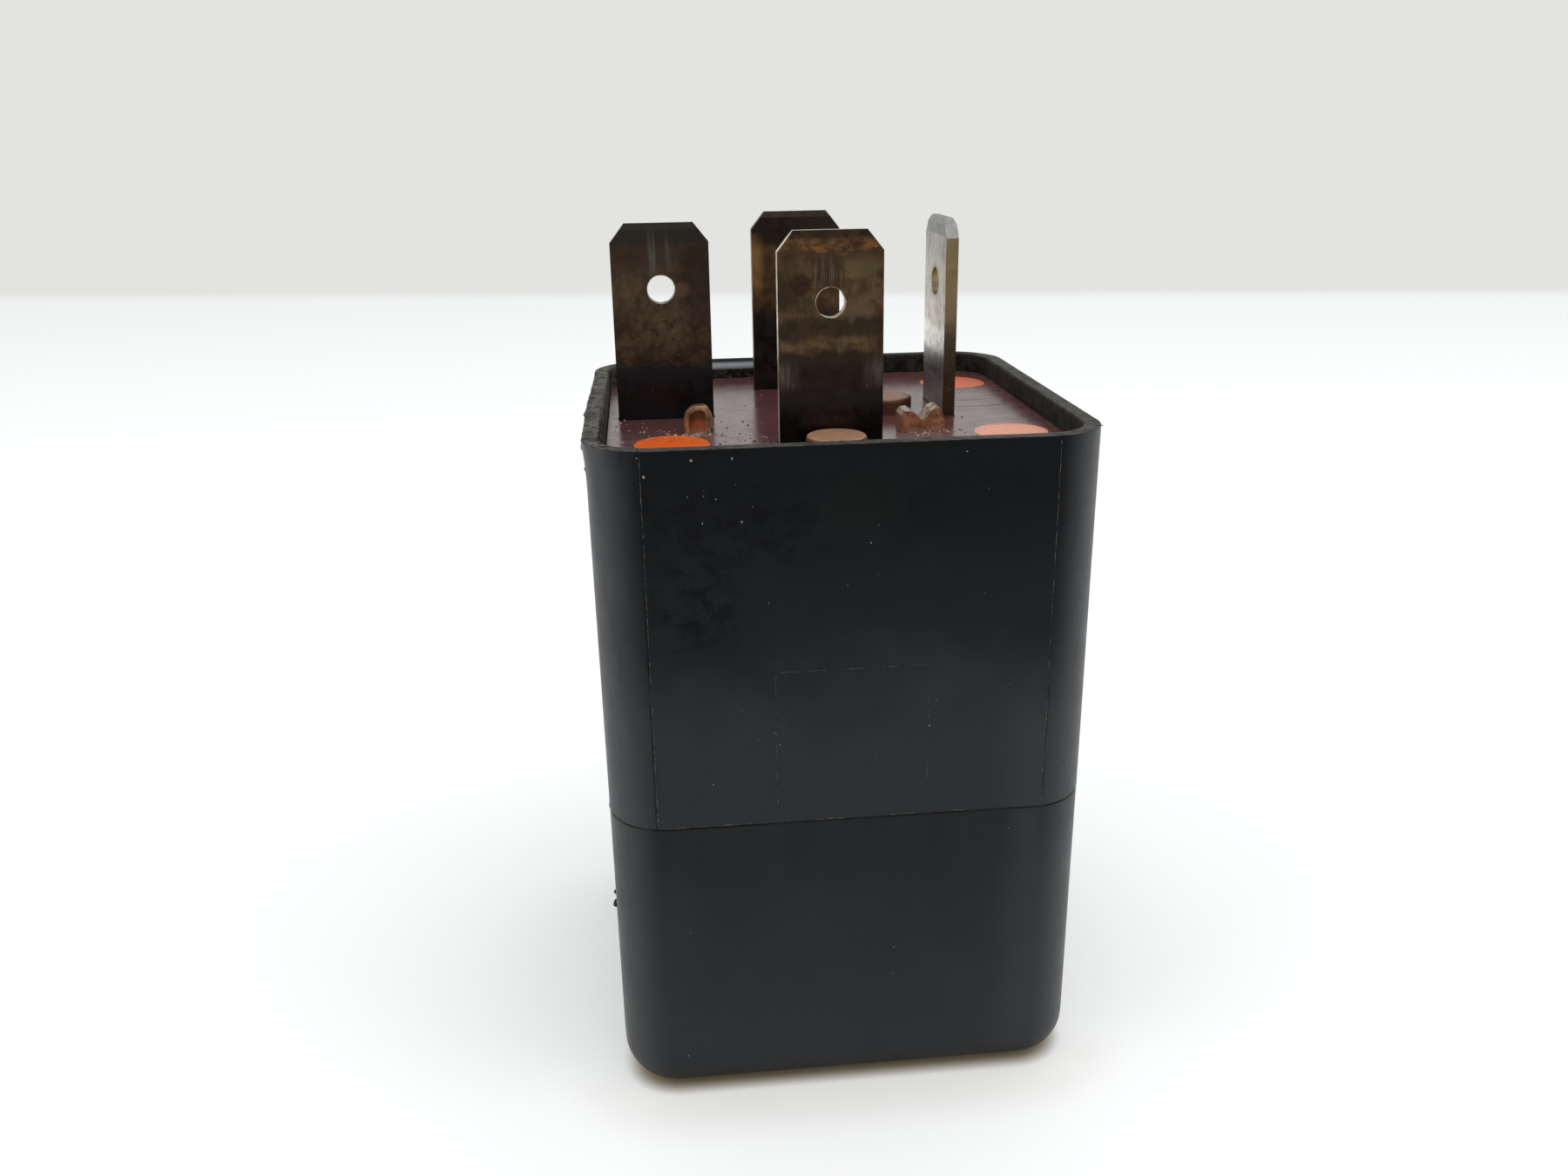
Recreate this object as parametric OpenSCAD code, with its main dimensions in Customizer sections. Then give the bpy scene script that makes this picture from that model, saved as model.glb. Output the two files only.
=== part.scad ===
// Automotive relay with four blade terminals.
// A moulded cover stands on its closed end. A base board closes its open end and carries the
// blades, and the coil, yoke, armature and contacts hang below the board.
// Origin: centre of the cover's closed end, +Z up towards the blades, -Y towards the front.

/* [Cover] */
// Outer width of the cover at its rim, along X
cover_w = 30.6; // [30.4:0.1:34]
// Outer depth of the cover at its rim, along Y
cover_d = 30.4; // [30.2:0.1:34]
// Height of the cover from its closed end to its rim
cover_h = 43.9; // [43:0.1:50]
// Radius of the upright corners at the rim
cover_corner_r = 3.9; // [3.6:0.1:4.2]
// Radius of the rounding round the closed end
cover_foot_r = 2.5; // [1:0.1:3]
// Taper of each side over the whole height
cover_taper = 0.22; // [0:0.02:0.4]
// Wall thickness at the rim
rim_wall = 1; // [0.8:0.05:1.2]
// Width of the inner shelf that the base board rests on
shelf_w = 0.5; // [0.4:0.05:0.6]
// Thickness of the closed end
cover_floor = 1.6; // [1.2:0.1:2.4]
// Inner rounding round the closed end
cavity_foot_r = 1; // [0.4:0.1:1.5]
// Chamfer on the rim's inner edge
rim_chamfer = 0.25; // [0.1:0.05:0.35]
// Height of the mould parting line
parting_h = 20.1; // [12:0.1:30]
// Step of the outer wall at the parting line
parting_step = 0.08; // [0.02:0.01:0.15]

/* [Base board] */
// Depth of the base board's top below the rim
rim_recess = 1.35; // [1:0.05:2]
// Thickness of the base board
board_t = 1.6; // [1.2:0.1:2]
// Gap between the board's edge and the cover
board_gap = 0.1; // [0.05:0.01:0.2]
// Gap round a blade, tongue or lug in its slot
slot_gap = 0.06; // [0.03:0.01:0.12]

/* [Blade terminals] */
// Width of a blade
blade_w = 6.3; // [6.2:0.05:6.4]
// Thickness of the blade strip
blade_t = 0.8; // [0.7:0.05:0.85]
// Height of a blade above the base board
blade_h = 12.6; // [11:0.1:14]
// Width of the chamfer at each tip corner
tip_chamfer_w = 0.95; // [0.5:0.05:1.4]
// Height of the chamfer at each tip corner
tip_chamfer_h = 1.2; // [0.6:0.05:1.8]
// Depth of the lead-in bevel on the tip's faces
tip_bevel = 0.2; // [0.1:0.02:0.3]
// Diameter of the detent hole
detent_d = 1.8; // [1.6:0.05:2]
// Distance of the detent hole's centre below the tip
detent_drop = 4.15; // [3.6:0.05:5]

/* [Blade positions] */
// X of the front and back blades' centre
row_x = -0.55; // [-0.8:0.05:-0.3]
// Distance of the front blade's centre from the cover's front
front_inset = 6.4; // [6.2:0.05:6.5]
// Distance of the back blade's centre from the cover's back
back_inset = 5.85; // [5.7:0.05:6]
// Distance of the left blade's centre from the cover's left side
left_inset = 4.95; // [4.9:0.05:5.1]
// Y of the left blade's centre
left_y = 0.2; // [0:0.05:0.4]
// Distance of the right blade's centre from the cover's right side; it stands square to the others
right_inset = 7.1; // [6.9:0.05:7.3]
// Y of the right blade's centre
right_y = 0.65; // [0.5:0.05:0.8]

/* [Rivets and tongues] */
// Diameter of a terminal rivet's head
rivet_head_d = 3.65; // [3.2:0.05:3.9]
// Height of a terminal rivet's head
rivet_head_h = 1.05; // [0.8:0.05:1.2]
// Diameter of a terminal rivet's shank
rivet_shank_d = 2.2; // [1.8:0.1:2.4]
// Diameter of a terminal rivet's closed end
rivet_tail_d = 3; // [2.8:0.1:3.2]
// Height of a terminal rivet's closed end
rivet_tail_h = 0.7; // [0.4:0.1:0.9]
// Distance of the front rivet from the front blade's centre
front_rivet_reach = 2.6; // [2.5:0.05:2.7]
// Distance of the right rivet from the right blade's centre
right_rivet_reach = 3.85; // [3.6:0.05:4.2]
// Y of the right rivet
right_rivet_y = 0.1; // [0:0.05:0.4]
// Width of a coil terminal's curled tongue
tongue_w = 1.65; // [1.4:0.05:2]
// Height of a coil terminal's tongue above the board
tongue_h = 1.75; // [1.2:0.05:2]
// Depth of the hollow in the tongue's curled face
tongue_hollow = 0.5; // [0.3:0.05:0.55]
// Width of the rim round that hollow
tongue_rim = 0.28; // [0.2:0.02:0.36]
// Gap between the left tongue's face and the stud in front of it
left_tongue_gap = 0.35; // [0.2:0.05:0.6]
// Distance of the back tongue's outer face from its blade's centre
back_tongue_reach = 3.9; // [3.4:0.05:4]
// Distance of the left tongue's centre line from its blade's centre line
left_tongue_shift = 1.85; // [1.6:0.05:2.2]

/* [Coil former] */
// Diameter of a stud under the board and of its flattened end
stud_d = 4.5; // [4:0.1:4.8]
// Diameter of a stud in the board's hole
stud_neck_d = 3.4; // [3:0.1:3.8]
// Depth of a stud's flattened end in the board
stud_head_h = 0.7; // [0.5:0.05:0.9]
// Distance of the left studs from the cover's left side
stud_left_inset = 5.05; // [4.9:0.05:5.2]
// Distance of the right studs from the cover's right side
stud_right_inset = 4.25; // [4.1:0.05:4.35]
// Distance of the front studs from the cover's front
stud_front_inset = 7.5; // [7.4:0.05:7.6]
// Distance of the back studs from the cover's back
stud_back_inset = 5.95; // [5.8:0.05:6.1]
// Thickness of the former's flanges
flange_t = 1.2; // [1:0.1:1.5]
// Wall of the former's tube round the core
tube_wall = 0.8; // [0.6:0.1:1.2]
// Length of the winding
coil_l = 23; // [18:0.5:24]
// Margin of the flanges round the winding
winding_margin = 0.4; // [0.3:0.1:1.6]
// Rounding of the winding's two ends
winding_edge_r = 0.5; // [0.2:0.1:0.8]
// Depth of the leads' outlet below the winding's surface
lead_depth = 0.9; // [0.8:0.05:1.2]
// Thickness of the two stop hooks
hook_t = 1.2; // [1:0.1:1.5]
// Width of the two stop hooks along Y
hook_w = 2; // [1.5:0.1:2.4]
// Diameter of the enamelled lead wires
lead_d = 0.5; // [0.3:0.05:0.6]

/* [Magnet] */
// Diameter of the core
core_d = 6; // [5:0.1:7]
// Diameter of the pole shoe
pole_d = 8.8; // [8:0.1:9.2]
// Height of the pole shoe
pole_h = 1.5; // [1:0.1:1.6]
// Drop of the pole face below the former
pole_drop = 2.6; // [2.4:0.1:3.2]
// Thickness of the yoke
yoke_t = 1.8; // [1.5:0.1:1.8]
// Distance of the yoke leg's front face from the cover's front
yoke_inset = 8.3; // [8.2:0.05:8.3]
// Distance of the yoke's right side, which its staked lug shares, from the right blade's centre
lug_inset = 1.2; // [1.1:0.05:1.4]
// Free space between the yoke and what is riveted to the board
yoke_clearance = 1.2; // [1:0.1:1.6]
// Margin of the yoke's top behind the core
yoke_margin = 1.2; // [0.8:0.1:1.4]
// Width of the lug that is staked through the board
lug_w = 2.8; // [2.4:0.1:3]
// Height of the lug's peaks above the board
lug_h = 1.5; // [1:0.05:1.8]
// Depth of the chisel notch that spreads the lug
lug_notch = 0.8; // [0.5:0.05:1]
// Width of the tongue that keeps the armature in place
keeper_w = 4; // [3:0.1:4.4]

/* [Armature] */
// Angle that the armature opens through
open_angle = 3.5; // [2.5:0.1:3.6]
// Thickness of the armature
armature_t = 1.8; // [1.2:0.1:1.8]
// Width of the armature
armature_w = 14; // [12:0.1:14]
// Gap between the armature's end and the contacts' arm and shelf
armature_gap = 0.25; // [0.2:0.05:0.5]
// Gap left between the closed armature and the pole face
residual_gap = 0.05; // [0.03:0.01:0.1]
// Gap round the keeper tongue in the armature's window
keeper_gap = 0.25; // [0.2:0.05:0.35]
// Gap between the open armature and its stop hooks
stop_gap = 0.04; // [0.02:0.01:0.1]
// Width of the tail that the return spring pulls
tail_w = 5; // [4:0.1:5]
// Reach of the tail in front of the yoke
tail_reach = 4; // [3.6:0.1:4.2]

/* [Contacts] */
// Thickness of the contact arm
arm_t = 0.4; // [0.3:0.05:0.5]
// Width of the contact arm under the armature
arm_w = 8; // [7.4:0.1:9]
// Margin of the arm and the shelf round the contacts
contact_margin = 0.3; // [0.2:0.05:0.4]
// Diameter of the contact faces
contact_d = 3; // [2.4:0.1:3.1]
// Height of the moving contact above its arm
contact_h = 1.2; // [0.9:0.1:1.3]
// Height of the fixed contact under its shelf
fixed_contact_h = 0.7; // [0.5:0.1:0.8]
// Gap left between the contacts where the joint's range ends
closed_gap = 0.03; // [0.02:0.01:0.06]
// Width of the strip that carries the fixed contact
bus_w = 3.2; // [3:0.1:3.3]
// Gap between that strip and the wall behind it
bus_gap = 0.3; // [0.2:0.05:0.4]
// Gap between that strip and the stud beside it
bus_stud_gap = 0.35; // [0.2:0.05:0.5]
// Gap between the contacts and that strip's upright leg
contact_gap = 0.1; // [0.05:0.05:0.2]

/* [Return spring and braid] */
// Outer diameter of the return spring
spring_d = 2.6; // [2.2:0.1:2.8]
// Diameter of the spring wire
spring_wire_d = 0.45; // [0.3:0.05:0.5]
// Number of turns of the spring
spring_turns = 12; // [8:1:16]
// Length of the spring's coiled part
spring_l = 13; // [10:0.5:15]
// Distance of the spring's axis in front of the yoke
spring_offset = 2.5; // [2.3:0.1:2.6]
// Diameter of the copper braid
braid_d = 1.5; // [1:0.1:1.6]
// Forward bow of the braid
braid_bow = 1.2; // [0.6:0.1:1.4]

/* [Hidden] */
$fn = 64;
// Overshoot of cutting shapes past the faces they cut
cut = 1;

// Levels, from the rim downwards
board_top = cover_h - rim_recess;
board_low = board_top - board_t;
foot_low = board_low - blade_t;
yoke_top = foot_low - rivet_tail_h - yoke_clearance;
former_top = yoke_top - yoke_t;
coil_top = former_top - flange_t;
coil_low = coil_top - coil_l;
former_low = coil_low - flange_t;
pole_z = former_low - pole_drop;
armature_top = pole_z - residual_gap;
arm_top = armature_top - armature_t;
fixed_face = arm_top + contact_h + closed_gap;
shelf_low = fixed_face + fixed_contact_h;

// The cover's cavity below the shelf
lower_wall = rim_wall + shelf_w;
cavity_back_y = cover_d / 2 - lower_wall - cover_taper;
bus_y = cavity_back_y - bus_gap;

// The blades and studs, from the cover's sides
front_y = front_inset - cover_d / 2;
back_y = cover_d / 2 - back_inset;
left_x = left_inset - cover_w / 2;
right_x = cover_w / 2 - right_inset;
stud_left_x = stud_left_inset - cover_w / 2;
stud_right_x = cover_w / 2 - stud_right_inset;
stud_front_y = stud_front_inset - cover_d / 2;
stud_back_y = cover_d / 2 - stud_back_inset;
left_tongue_reach = left_y - stud_front_y - stud_d / 2 - left_tongue_gap;

// Slips of metal past a rivet's closed end, and the edges of rivet heads
rivet_margin = 0.4;
terminal_rivet_edge_r = 0.25;
contact_edge_r = 0.3;
arm_rivet_edge_r = 0.15;

// The magnet
yoke_front_y = yoke_inset - cover_d / 2;
yoke_right_x = right_x - lug_inset;
yoke_half = yoke_right_x - row_x;
yoke_back_y = yoke_front_y + yoke_t;
tube_d = core_d + 2 * tube_wall;
flange_gap = 0.2;
flange_front_y = yoke_back_y + flange_gap;
flange_back_y = bus_y - blade_t - flange_gap;
flange_depth = flange_back_y - flange_front_y;
flange_half_w = armature_w / 2 + flange_gap + hook_t;
flange_corner_r = 2;
core_y = (flange_front_y + flange_back_y) / 2;
coil_d = flange_depth - 2 * winding_margin;
yoke_reach = core_d / 2 + yoke_margin;
stake_ratio = 0.75;
stake_d = core_d * stake_ratio;
stake_overlap = 0.4;
stake_head_d = core_d + 2 * stake_overlap;
stake_h = 0.6;
notch_gap = 0.3;

// The lead wires leave the winding on this circle, at these angles
lead_circle_r = coil_d / 2 - lead_depth;
left_lead_angle = 125;
back_lead_angle = 106;
lead_hole_gap = 0.1;
// Height of the left lead's run above the yoke, and where it meets the left terminal's foot
lead_rise = 0.6;
lead_foot_inset = 1.4;
lead_foot_y = left_y - 1;

// The contacts
contact_x = stud_right_x - stud_d / 2 - bus_stud_gap - bus_w / 2;
contact_y = bus_y - blade_t - contact_gap - contact_d / 2;
contact_end_r = contact_d / 2 + contact_margin;

// The armature turns about the yoke leg's lower front edge
hinge_y = yoke_front_y;
hinge_z = pole_z;
armature_end_y = contact_y - contact_end_r - armature_gap;
tail_end_y = yoke_front_y - tail_reach;
shoulder_w = 0.6;
tail_shoulder_y = yoke_front_y - keeper_gap - shoulder_w;
arm_rivet_x = 2.6;
arm_rivet_d = 1.6;
arm_rivet_head_d = 2.4;
arm_rivet_head_h = 0.5;
arm_rivet_tail_h = 0.4;
arm_rivet_margin = 1.15;
arm_rivet_y = yoke_back_y + keeper_gap + arm_rivet_margin + arm_rivet_head_d / 2;
contact_shank_d = 1.6;
contact_tail_d = 2.2;
contact_tail_h = 0.3;
hook_gap = 0.4;
keeper_reach = 0.4;
stop_z = open_z(armature_end_y, arm_top) - stop_gap;

// The return spring and the lug that holds its upper end
spring_y = yoke_front_y - spring_offset;
spring_hole_d = 1.2;
spring_tail_gap = 1.6;
spring_low = armature_top + spring_tail_gap;
spring_high = spring_low + spring_l;
anchor_gap = 1.2;
anchor_z = spring_high + anchor_gap;
anchor_t = 1.2;
anchor_w = 3.2;
anchor_lip = 1.4;
anchor_reach = spring_offset + anchor_lip;
// Reach of the spring's end hooks, and the heights of their bends
hook_reach = 1.1;
hook_stub = 0.6;
hook_bend = 0.5;
hook_depth = 1;

// The pad where the braid joins the arm, and the braid's places on the pad and on the foot
pad_w = 3.2;
pad_gap = 0.2;
pad_x = row_x + tail_w / 2 + pad_w / 2 + pad_gap;
pad_y = spring_y;
braid_pad_shift = 0.3;
braid_sink = 0.1;
braid_foot_shift = 0.9;

// Height and depth of a point of the closed armature once it has opened
function open_z(y, z) =
    hinge_z + (z - hinge_z) * cos(open_angle) - (y - hinge_y) * sin(open_angle);
function open_y(y, z) =
    hinge_y + (y - hinge_y) * cos(open_angle) + (z - hinge_z) * sin(open_angle);

// ---- shared shapes ----

module rounded_rect(w, d, r) {
    square([w - 2 * r, d], center = true);
    square([w, d - 2 * r], center = true);
    for (x = [-1, 1], y = [-1, 1])
        translate([x * (w / 2 - r), y * (d / 2 - r)]) circle(r);
}

module rounded_plate(w, d, h, r) {
    linear_extrude(h) rounded_rect(w, d, r);
}

// Half section of a tapering wall, which reaches top_reach from the axis at height h.
// The wall steps in by step below step_z, and foot_r rounds its foot.
module wall_section(top_reach, h, taper, foot_r, step, step_z) {
    foot_reach = top_reach - taper * (h - foot_r) / h - step;
    step_reach = top_reach - taper * (h - step_z) / h;
    square([foot_reach - foot_r, foot_r]);
    intersection() {
        translate([foot_reach - foot_r, foot_r]) circle(foot_r);
        square([foot_reach, foot_r]);
    }
    polygon([[0, foot_r], [foot_reach, foot_r], [step_reach - step, step_z],
        [step_reach, step_z], [top_reach, h], [0, h]]);
}

// A moulded box with upright corners of radius r, a taper and a rounded foot.
// Each corner is a quarter turn of the wall's section about the corner's own axis.
module moulded_block(w, d, h, r, taper, foot_r, step, step_z) {
    for (turn = [0, 90, 180, 270]) {
        across = turn % 180 == 0 ? w : d;
        along = turn % 180 == 0 ? d : w;
        rotate(turn) {
            translate([across / 2 - r, along / 2 - r])
                rotate_extrude(angle = 90) wall_section(r, h, taper, foot_r, step, step_z);
            translate([0, along / 2 - r]) rotate([90, 0, 0])
                linear_extrude(along - 2 * r)
                    wall_section(across / 2, h, taper, foot_r, step, step_z);
        }
    }
}

// The front view of a blade from its root up, with chamfered tip corners and its detent hole
module blade_outline(root_z, tip_z) {
    half = blade_w / 2;
    difference() {
        polygon([[-half, root_z], [half, root_z], [half, tip_z - tip_chamfer_h],
            [half - tip_chamfer_w, tip_z], [tip_chamfer_w - half, tip_z],
            [-half, tip_z - tip_chamfer_h]]);
        translate([0, tip_z - detent_drop]) circle(d = detent_d);
    }
}

// The side view of a blade, thinned at its tip
module blade_side(root_z, tip_z) {
    half = blade_t / 2;
    polygon([[-half, root_z], [half, root_z], [half, tip_z - 2 * tip_bevel],
        [half - tip_bevel, tip_z], [tip_bevel - half, tip_z], [-half, tip_z - 2 * tip_bevel]]);
}

// A blade that stands up through the board, with a foot of length reach bent towards -Y
module bladed_strip(reach) {
    tip_z = board_top + blade_h;
    intersection() {
        rotate([90, 0, 0]) translate([0, 0, -blade_t / 2])
            linear_extrude(blade_t) blade_outline(board_low, tip_z);
        translate([-blade_w / 2, 0, 0]) rotate([90, 0, 90])
            linear_extrude(blade_w) blade_side(board_low, tip_z);
    }
    translate([-blade_w / 2, 0, 0]) rotate([90, 0, 90]) linear_extrude(blade_w) {
        translate([-reach, foot_low]) square([reach - blade_t / 2, blade_t]);
        intersection() {
            translate([-blade_t / 2, board_low]) circle(blade_t);
            translate([-blade_t / 2, foot_low]) square(blade_t);
        }
    }
}

// Front view of a tongue from root_z up, set in by rim all round its arched end. The left
// shoulder is rounder than the right one.
module tongue_outline(root_z, rim) {
    w = tongue_w - 2 * rim;
    top = board_top + tongue_h - rim;
    left_r = w * 0.55;
    right_r = w * 0.3;
    translate([-w / 2, root_z]) square([w, top - left_r - root_z]);
    translate([left_r - w / 2, root_z]) square([w - left_r, top - right_r - root_z]);
    translate([left_r - w / 2, root_z]) square([w - left_r - right_r, top - root_z]);
    translate([left_r - w / 2, top - left_r]) circle(left_r);
    translate([w / 2 - right_r, top - right_r]) circle(right_r);
}

// A tongue bent up from a foot's end, with an arched end and a hollow, curled face towards -Y
module tongue(shift, reach) {
    w = tongue_w - 2 * tongue_rim;
    // Radius of the groove that is w wide and tongue_hollow deep
    r = (w * w / 4 + tongue_hollow * tongue_hollow) / (2 * tongue_hollow);
    translate([shift, -reach, 0]) difference() {
        rotate([-90, 0, 0]) mirror([0, 1, 0]) linear_extrude(blade_t)
            tongue_outline(board_low, 0);
        intersection() {
            translate([0, tongue_hollow - r, board_top]) cylinder(r = r, h = tongue_h);
            translate([0, -cut, 0]) rotate([-90, 0, 0]) mirror([0, 1, 0])
                linear_extrude(blade_t + cut) tongue_outline(board_top, tongue_rim);
        }
    }
}

// A headed pin along Z: head above z = 0, shank of length grip below it, closed end below that
module rivet(head_d, head_h, shank_d, grip, tail_d, tail_h, edge_r) {
    rotate_extrude() {
        square([head_d / 2 - edge_r, head_h]);
        square([head_d / 2, head_h - edge_r]);
        translate([head_d / 2 - edge_r, head_h - edge_r]) circle(edge_r);
        translate([0, -grip]) square([shank_d / 2, grip]);
        translate([0, -grip - tail_h]) square([tail_d / 2, tail_h]);
    }
}

module terminal_rivet(x, y) {
    translate([x, y, board_top])
        rivet(rivet_head_d, rivet_head_h, rivet_shank_d, board_t + blade_t,
            rivet_tail_d, rivet_tail_h, terminal_rivet_edge_r);
}

module at_studs() {
    for (x = [stud_left_x, stud_right_x], y = [stud_front_y, stud_back_y])
        translate([x, y, 0]) children();
}

// Holds its children as the open armature holds them, when they are drawn closed
module opened() {
    translate([0, hinge_y, hinge_z]) rotate([-open_angle, 0, 0])
        translate([0, -hinge_y, -hinge_z]) children();
}

// Round wire along a list of points, with rounded bends
module wire(points, d) {
    for (i = [1:len(points) - 1]) {
        run = points[i] - points[i - 1];
        translate(points[i - 1])
            rotate([0, acos(run.z / norm(run)), atan2(run.y, run.x)])
                cylinder(d = d, h = norm(run), $fn = 24);
        if (i < len(points) - 1) translate(points[i]) sphere(d = d * 1.04, $fn = 24);
    }
}

// ---- swept round sections, for the spring and the braid ----

function unit(v) = v / norm(v);
function tangent(path, i) =
    unit(path[min(i + 1, len(path) - 1)] - path[max(i - 1, 0)]);
// A direction square to t, carried on from the last ring's direction so that rings don't twist
function carried(last, t) = unit(last - (last * t) * t);
function frames(path, i, last) =
    i == len(path) ? [] :
    let (n = carried(last, tangent(path, i))) concat([n], frames(path, i + 1, n));

module swept(path, d, sides, first_normal) {
    count = len(path);
    normals = frames(path, 0, first_normal);
    points = [for (i = [0:count - 1], k = [0:sides - 1])
        let (t = tangent(path, i), n = normals[i], b = cross(t, n), a = 360 * k / sides)
        path[i] + d / 2 * (cos(a) * n + sin(a) * b)];
    sides_faces = [for (i = [0:count - 2], k = [0:sides - 1], half = [0, 1])
        let (a = i * sides + k, b = i * sides + (k + 1) % sides)
        half == 0 ? [a, a + sides, b + sides] : [a, b + sides, b]];
    ends = [[for (k = [0:sides - 1]) k],
        [for (k = [sides - 1:-1:0]) (count - 1) * sides + k]];
    polyhedron(points, concat(sides_faces, ends), convexity = 10);
}

// ---- the nodes ----

module cover() {
    color([0.05, 0.055, 0.065]) difference() {
        moulded_block(cover_w, cover_d, cover_h, cover_corner_r, cover_taper, cover_foot_r,
            parting_step, parting_h);
        translate([0, 0, cover_floor])
            moulded_block(cover_w - 2 * lower_wall, cover_d - 2 * lower_wall,
                board_low - cover_floor, cover_corner_r - lower_wall, cover_taper, cavity_foot_r,
                0, parting_h);
        translate([0, 0, board_low])
            rounded_plate(cover_w - 2 * rim_wall, cover_d - 2 * rim_wall, cover_h,
                cover_corner_r - rim_wall);
        translate([0, 0, cover_h - rim_chamfer])
            rim_bevel();
    }
}

// The sloped inner edge of the rim: the reach beyond the rim's inner wall grows upwards
module rim_bevel() {
    w = cover_w - 2 * rim_wall;
    d = cover_d - 2 * rim_wall;
    r = cover_corner_r - rim_wall;
    for (turn = [0, 90, 180, 270]) {
        across = turn % 180 == 0 ? w : d;
        along = turn % 180 == 0 ? d : w;
        rotate(turn) {
            translate([across / 2 - r, along / 2 - r])
                rotate_extrude(angle = 90) bevel_section(r);
            translate([0, along / 2 - r]) rotate([90, 0, 0])
                linear_extrude(along - 2 * r) bevel_section(across / 2);
        }
    }
}

module bevel_section(reach) {
    polygon([[0, 0], [reach, 0], [reach + rim_chamfer, rim_chamfer],
        [reach + rim_chamfer, cut], [0, cut]]);
}

module base_board() {
    color([0.33, 0.16, 0.16]) translate([0, 0, board_low]) difference() {
        rounded_plate(cover_w - 2 * (rim_wall + board_gap), cover_d - 2 * (rim_wall + board_gap),
            board_t, cover_corner_r - rim_wall - board_gap);
        for (spot = [[row_x, front_y, 0], [left_x, left_y, 0], [row_x, back_y, 0],
            [right_x, right_y, 90]])
            translate([spot.x, spot.y, -cut]) rotate(spot.z)
                slot(blade_w, blade_t);
        translate([left_x + left_tongue_shift, left_y - left_tongue_reach + blade_t / 2, -cut])
            slot(tongue_w, blade_t);
        translate([row_x, back_y + back_tongue_reach - blade_t / 2, -cut])
            slot(tongue_w, blade_t);
        translate([yoke_right_x - lug_w / 2, yoke_front_y + yoke_t / 2, -cut])
            slot(lug_w, yoke_t);
        translate([row_x, front_y - front_rivet_reach, -cut])
            cylinder(d = rivet_shank_d, h = board_t + 2 * cut);
        translate([right_x - right_rivet_reach, right_rivet_y, -cut])
            cylinder(d = rivet_shank_d, h = board_t + 2 * cut);
        at_studs() {
            translate([0, 0, -cut]) cylinder(d = stud_neck_d, h = board_t + 2 * cut);
            translate([0, 0, board_t - stud_head_h]) cylinder(d = stud_d, h = board_t);
        }
    }
}

module slot(w, t) {
    linear_extrude(board_t + 2 * cut) square([w + 2 * slot_gap, t + 2 * slot_gap], center = true);
}

module terminal_front() {
    color([0.33, 0.29, 0.2]) translate([row_x, front_y, 0]) difference() {
        bladed_strip(front_rivet_reach + rivet_tail_d / 2 + rivet_margin);
        translate([0, -front_rivet_reach, foot_low - cut])
            cylinder(d = rivet_shank_d, h = blade_t + 2 * cut);
    }
}

module terminal_left() {
    color([0.2, 0.18, 0.14]) translate([left_x, left_y, 0]) {
        bladed_strip(left_tongue_reach);
        tongue(left_tongue_shift, left_tongue_reach);
    }
}

module terminal_back() {
    color([0.16, 0.14, 0.11]) translate([row_x, back_y, 0]) rotate(180) {
        bladed_strip(back_tongue_reach);
        tongue(0, back_tongue_reach);
    }
}

// The foot runs to its rivet, and a strip at its side runs to the back wall and down to the
// shelf of the fixed contact
module terminal_right() {
    bus_x = contact_x - bus_w / 2;
    foot_reach = right_rivet_reach + rivet_tail_d / 2 + rivet_margin;
    color([0.55, 0.52, 0.48]) difference() {
        union() {
            translate([right_x, right_y, 0]) rotate(-90) bladed_strip(foot_reach);
            translate([bus_x, right_y, foot_low]) cube([bus_w, bus_y - blade_t - right_y, blade_t]);
            translate([bus_x, 0, 0]) rotate([90, 0, 90]) linear_extrude(bus_w) bus_section();
        }
        translate([right_x - right_rivet_reach, right_rivet_y, foot_low - cut])
            cylinder(d = rivet_shank_d, h = blade_t + 2 * cut);
    }
}

// Side view of the strip's leg, rounded over at its top bend and carried into the shelf
module bus_section() {
    inner_y = bus_y - blade_t;
    shelf_y = contact_y - contact_end_r;
    intersection() {
        translate([inner_y, foot_low]) circle(blade_t);
        translate([inner_y, foot_low]) square(blade_t);
    }
    translate([inner_y, shelf_low + blade_t]) square([blade_t, foot_low - shelf_low - blade_t]);
    intersection() {
        translate([inner_y, shelf_low + blade_t]) circle(blade_t);
        translate([inner_y, shelf_low]) square(blade_t);
    }
    translate([shelf_y, shelf_low]) square([inner_y - shelf_y, blade_t]);
}

module rivet_front() {
    color([0.45, 0.27, 0.17]) terminal_rivet(row_x, front_y - front_rivet_reach);
}

module rivet_right() {
    color([0.45, 0.27, 0.17]) terminal_rivet(right_x - right_rivet_reach, right_rivet_y);
}

module coil_former() {
    color([0.95, 0.4, 0.12]) {
        at_studs() {
            translate([0, 0, former_top]) cylinder(d = stud_d, h = board_low - former_top);
            translate([0, 0, board_low]) cylinder(d = stud_neck_d, h = board_t - stud_head_h);
            translate([0, 0, board_top - stud_head_h]) cylinder(d = stud_d, h = stud_head_h);
        }
        difference() {
            union() {
                translate([0, 0, coil_top]) linear_extrude(flange_t) top_flange();
                translate([row_x, core_y, coil_low]) cylinder(d = tube_d, h = coil_l);
                translate([0, 0, former_low]) linear_extrude(flange_t) bottom_flange();
            }
            translate([row_x, core_y, former_low - cut])
                cylinder(d = core_d, h = coil_l + 2 * flange_t + 2 * cut);
            for (spot = [lead_spot(left_lead_angle), lead_spot(back_lead_angle)])
                translate([spot.x, spot.y, coil_top - cut])
                    cylinder(d = lead_d + 2 * lead_hole_gap, h = flange_t + 2 * cut, $fn = 24);
        }
        stop_hooks();
    }
}

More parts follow.
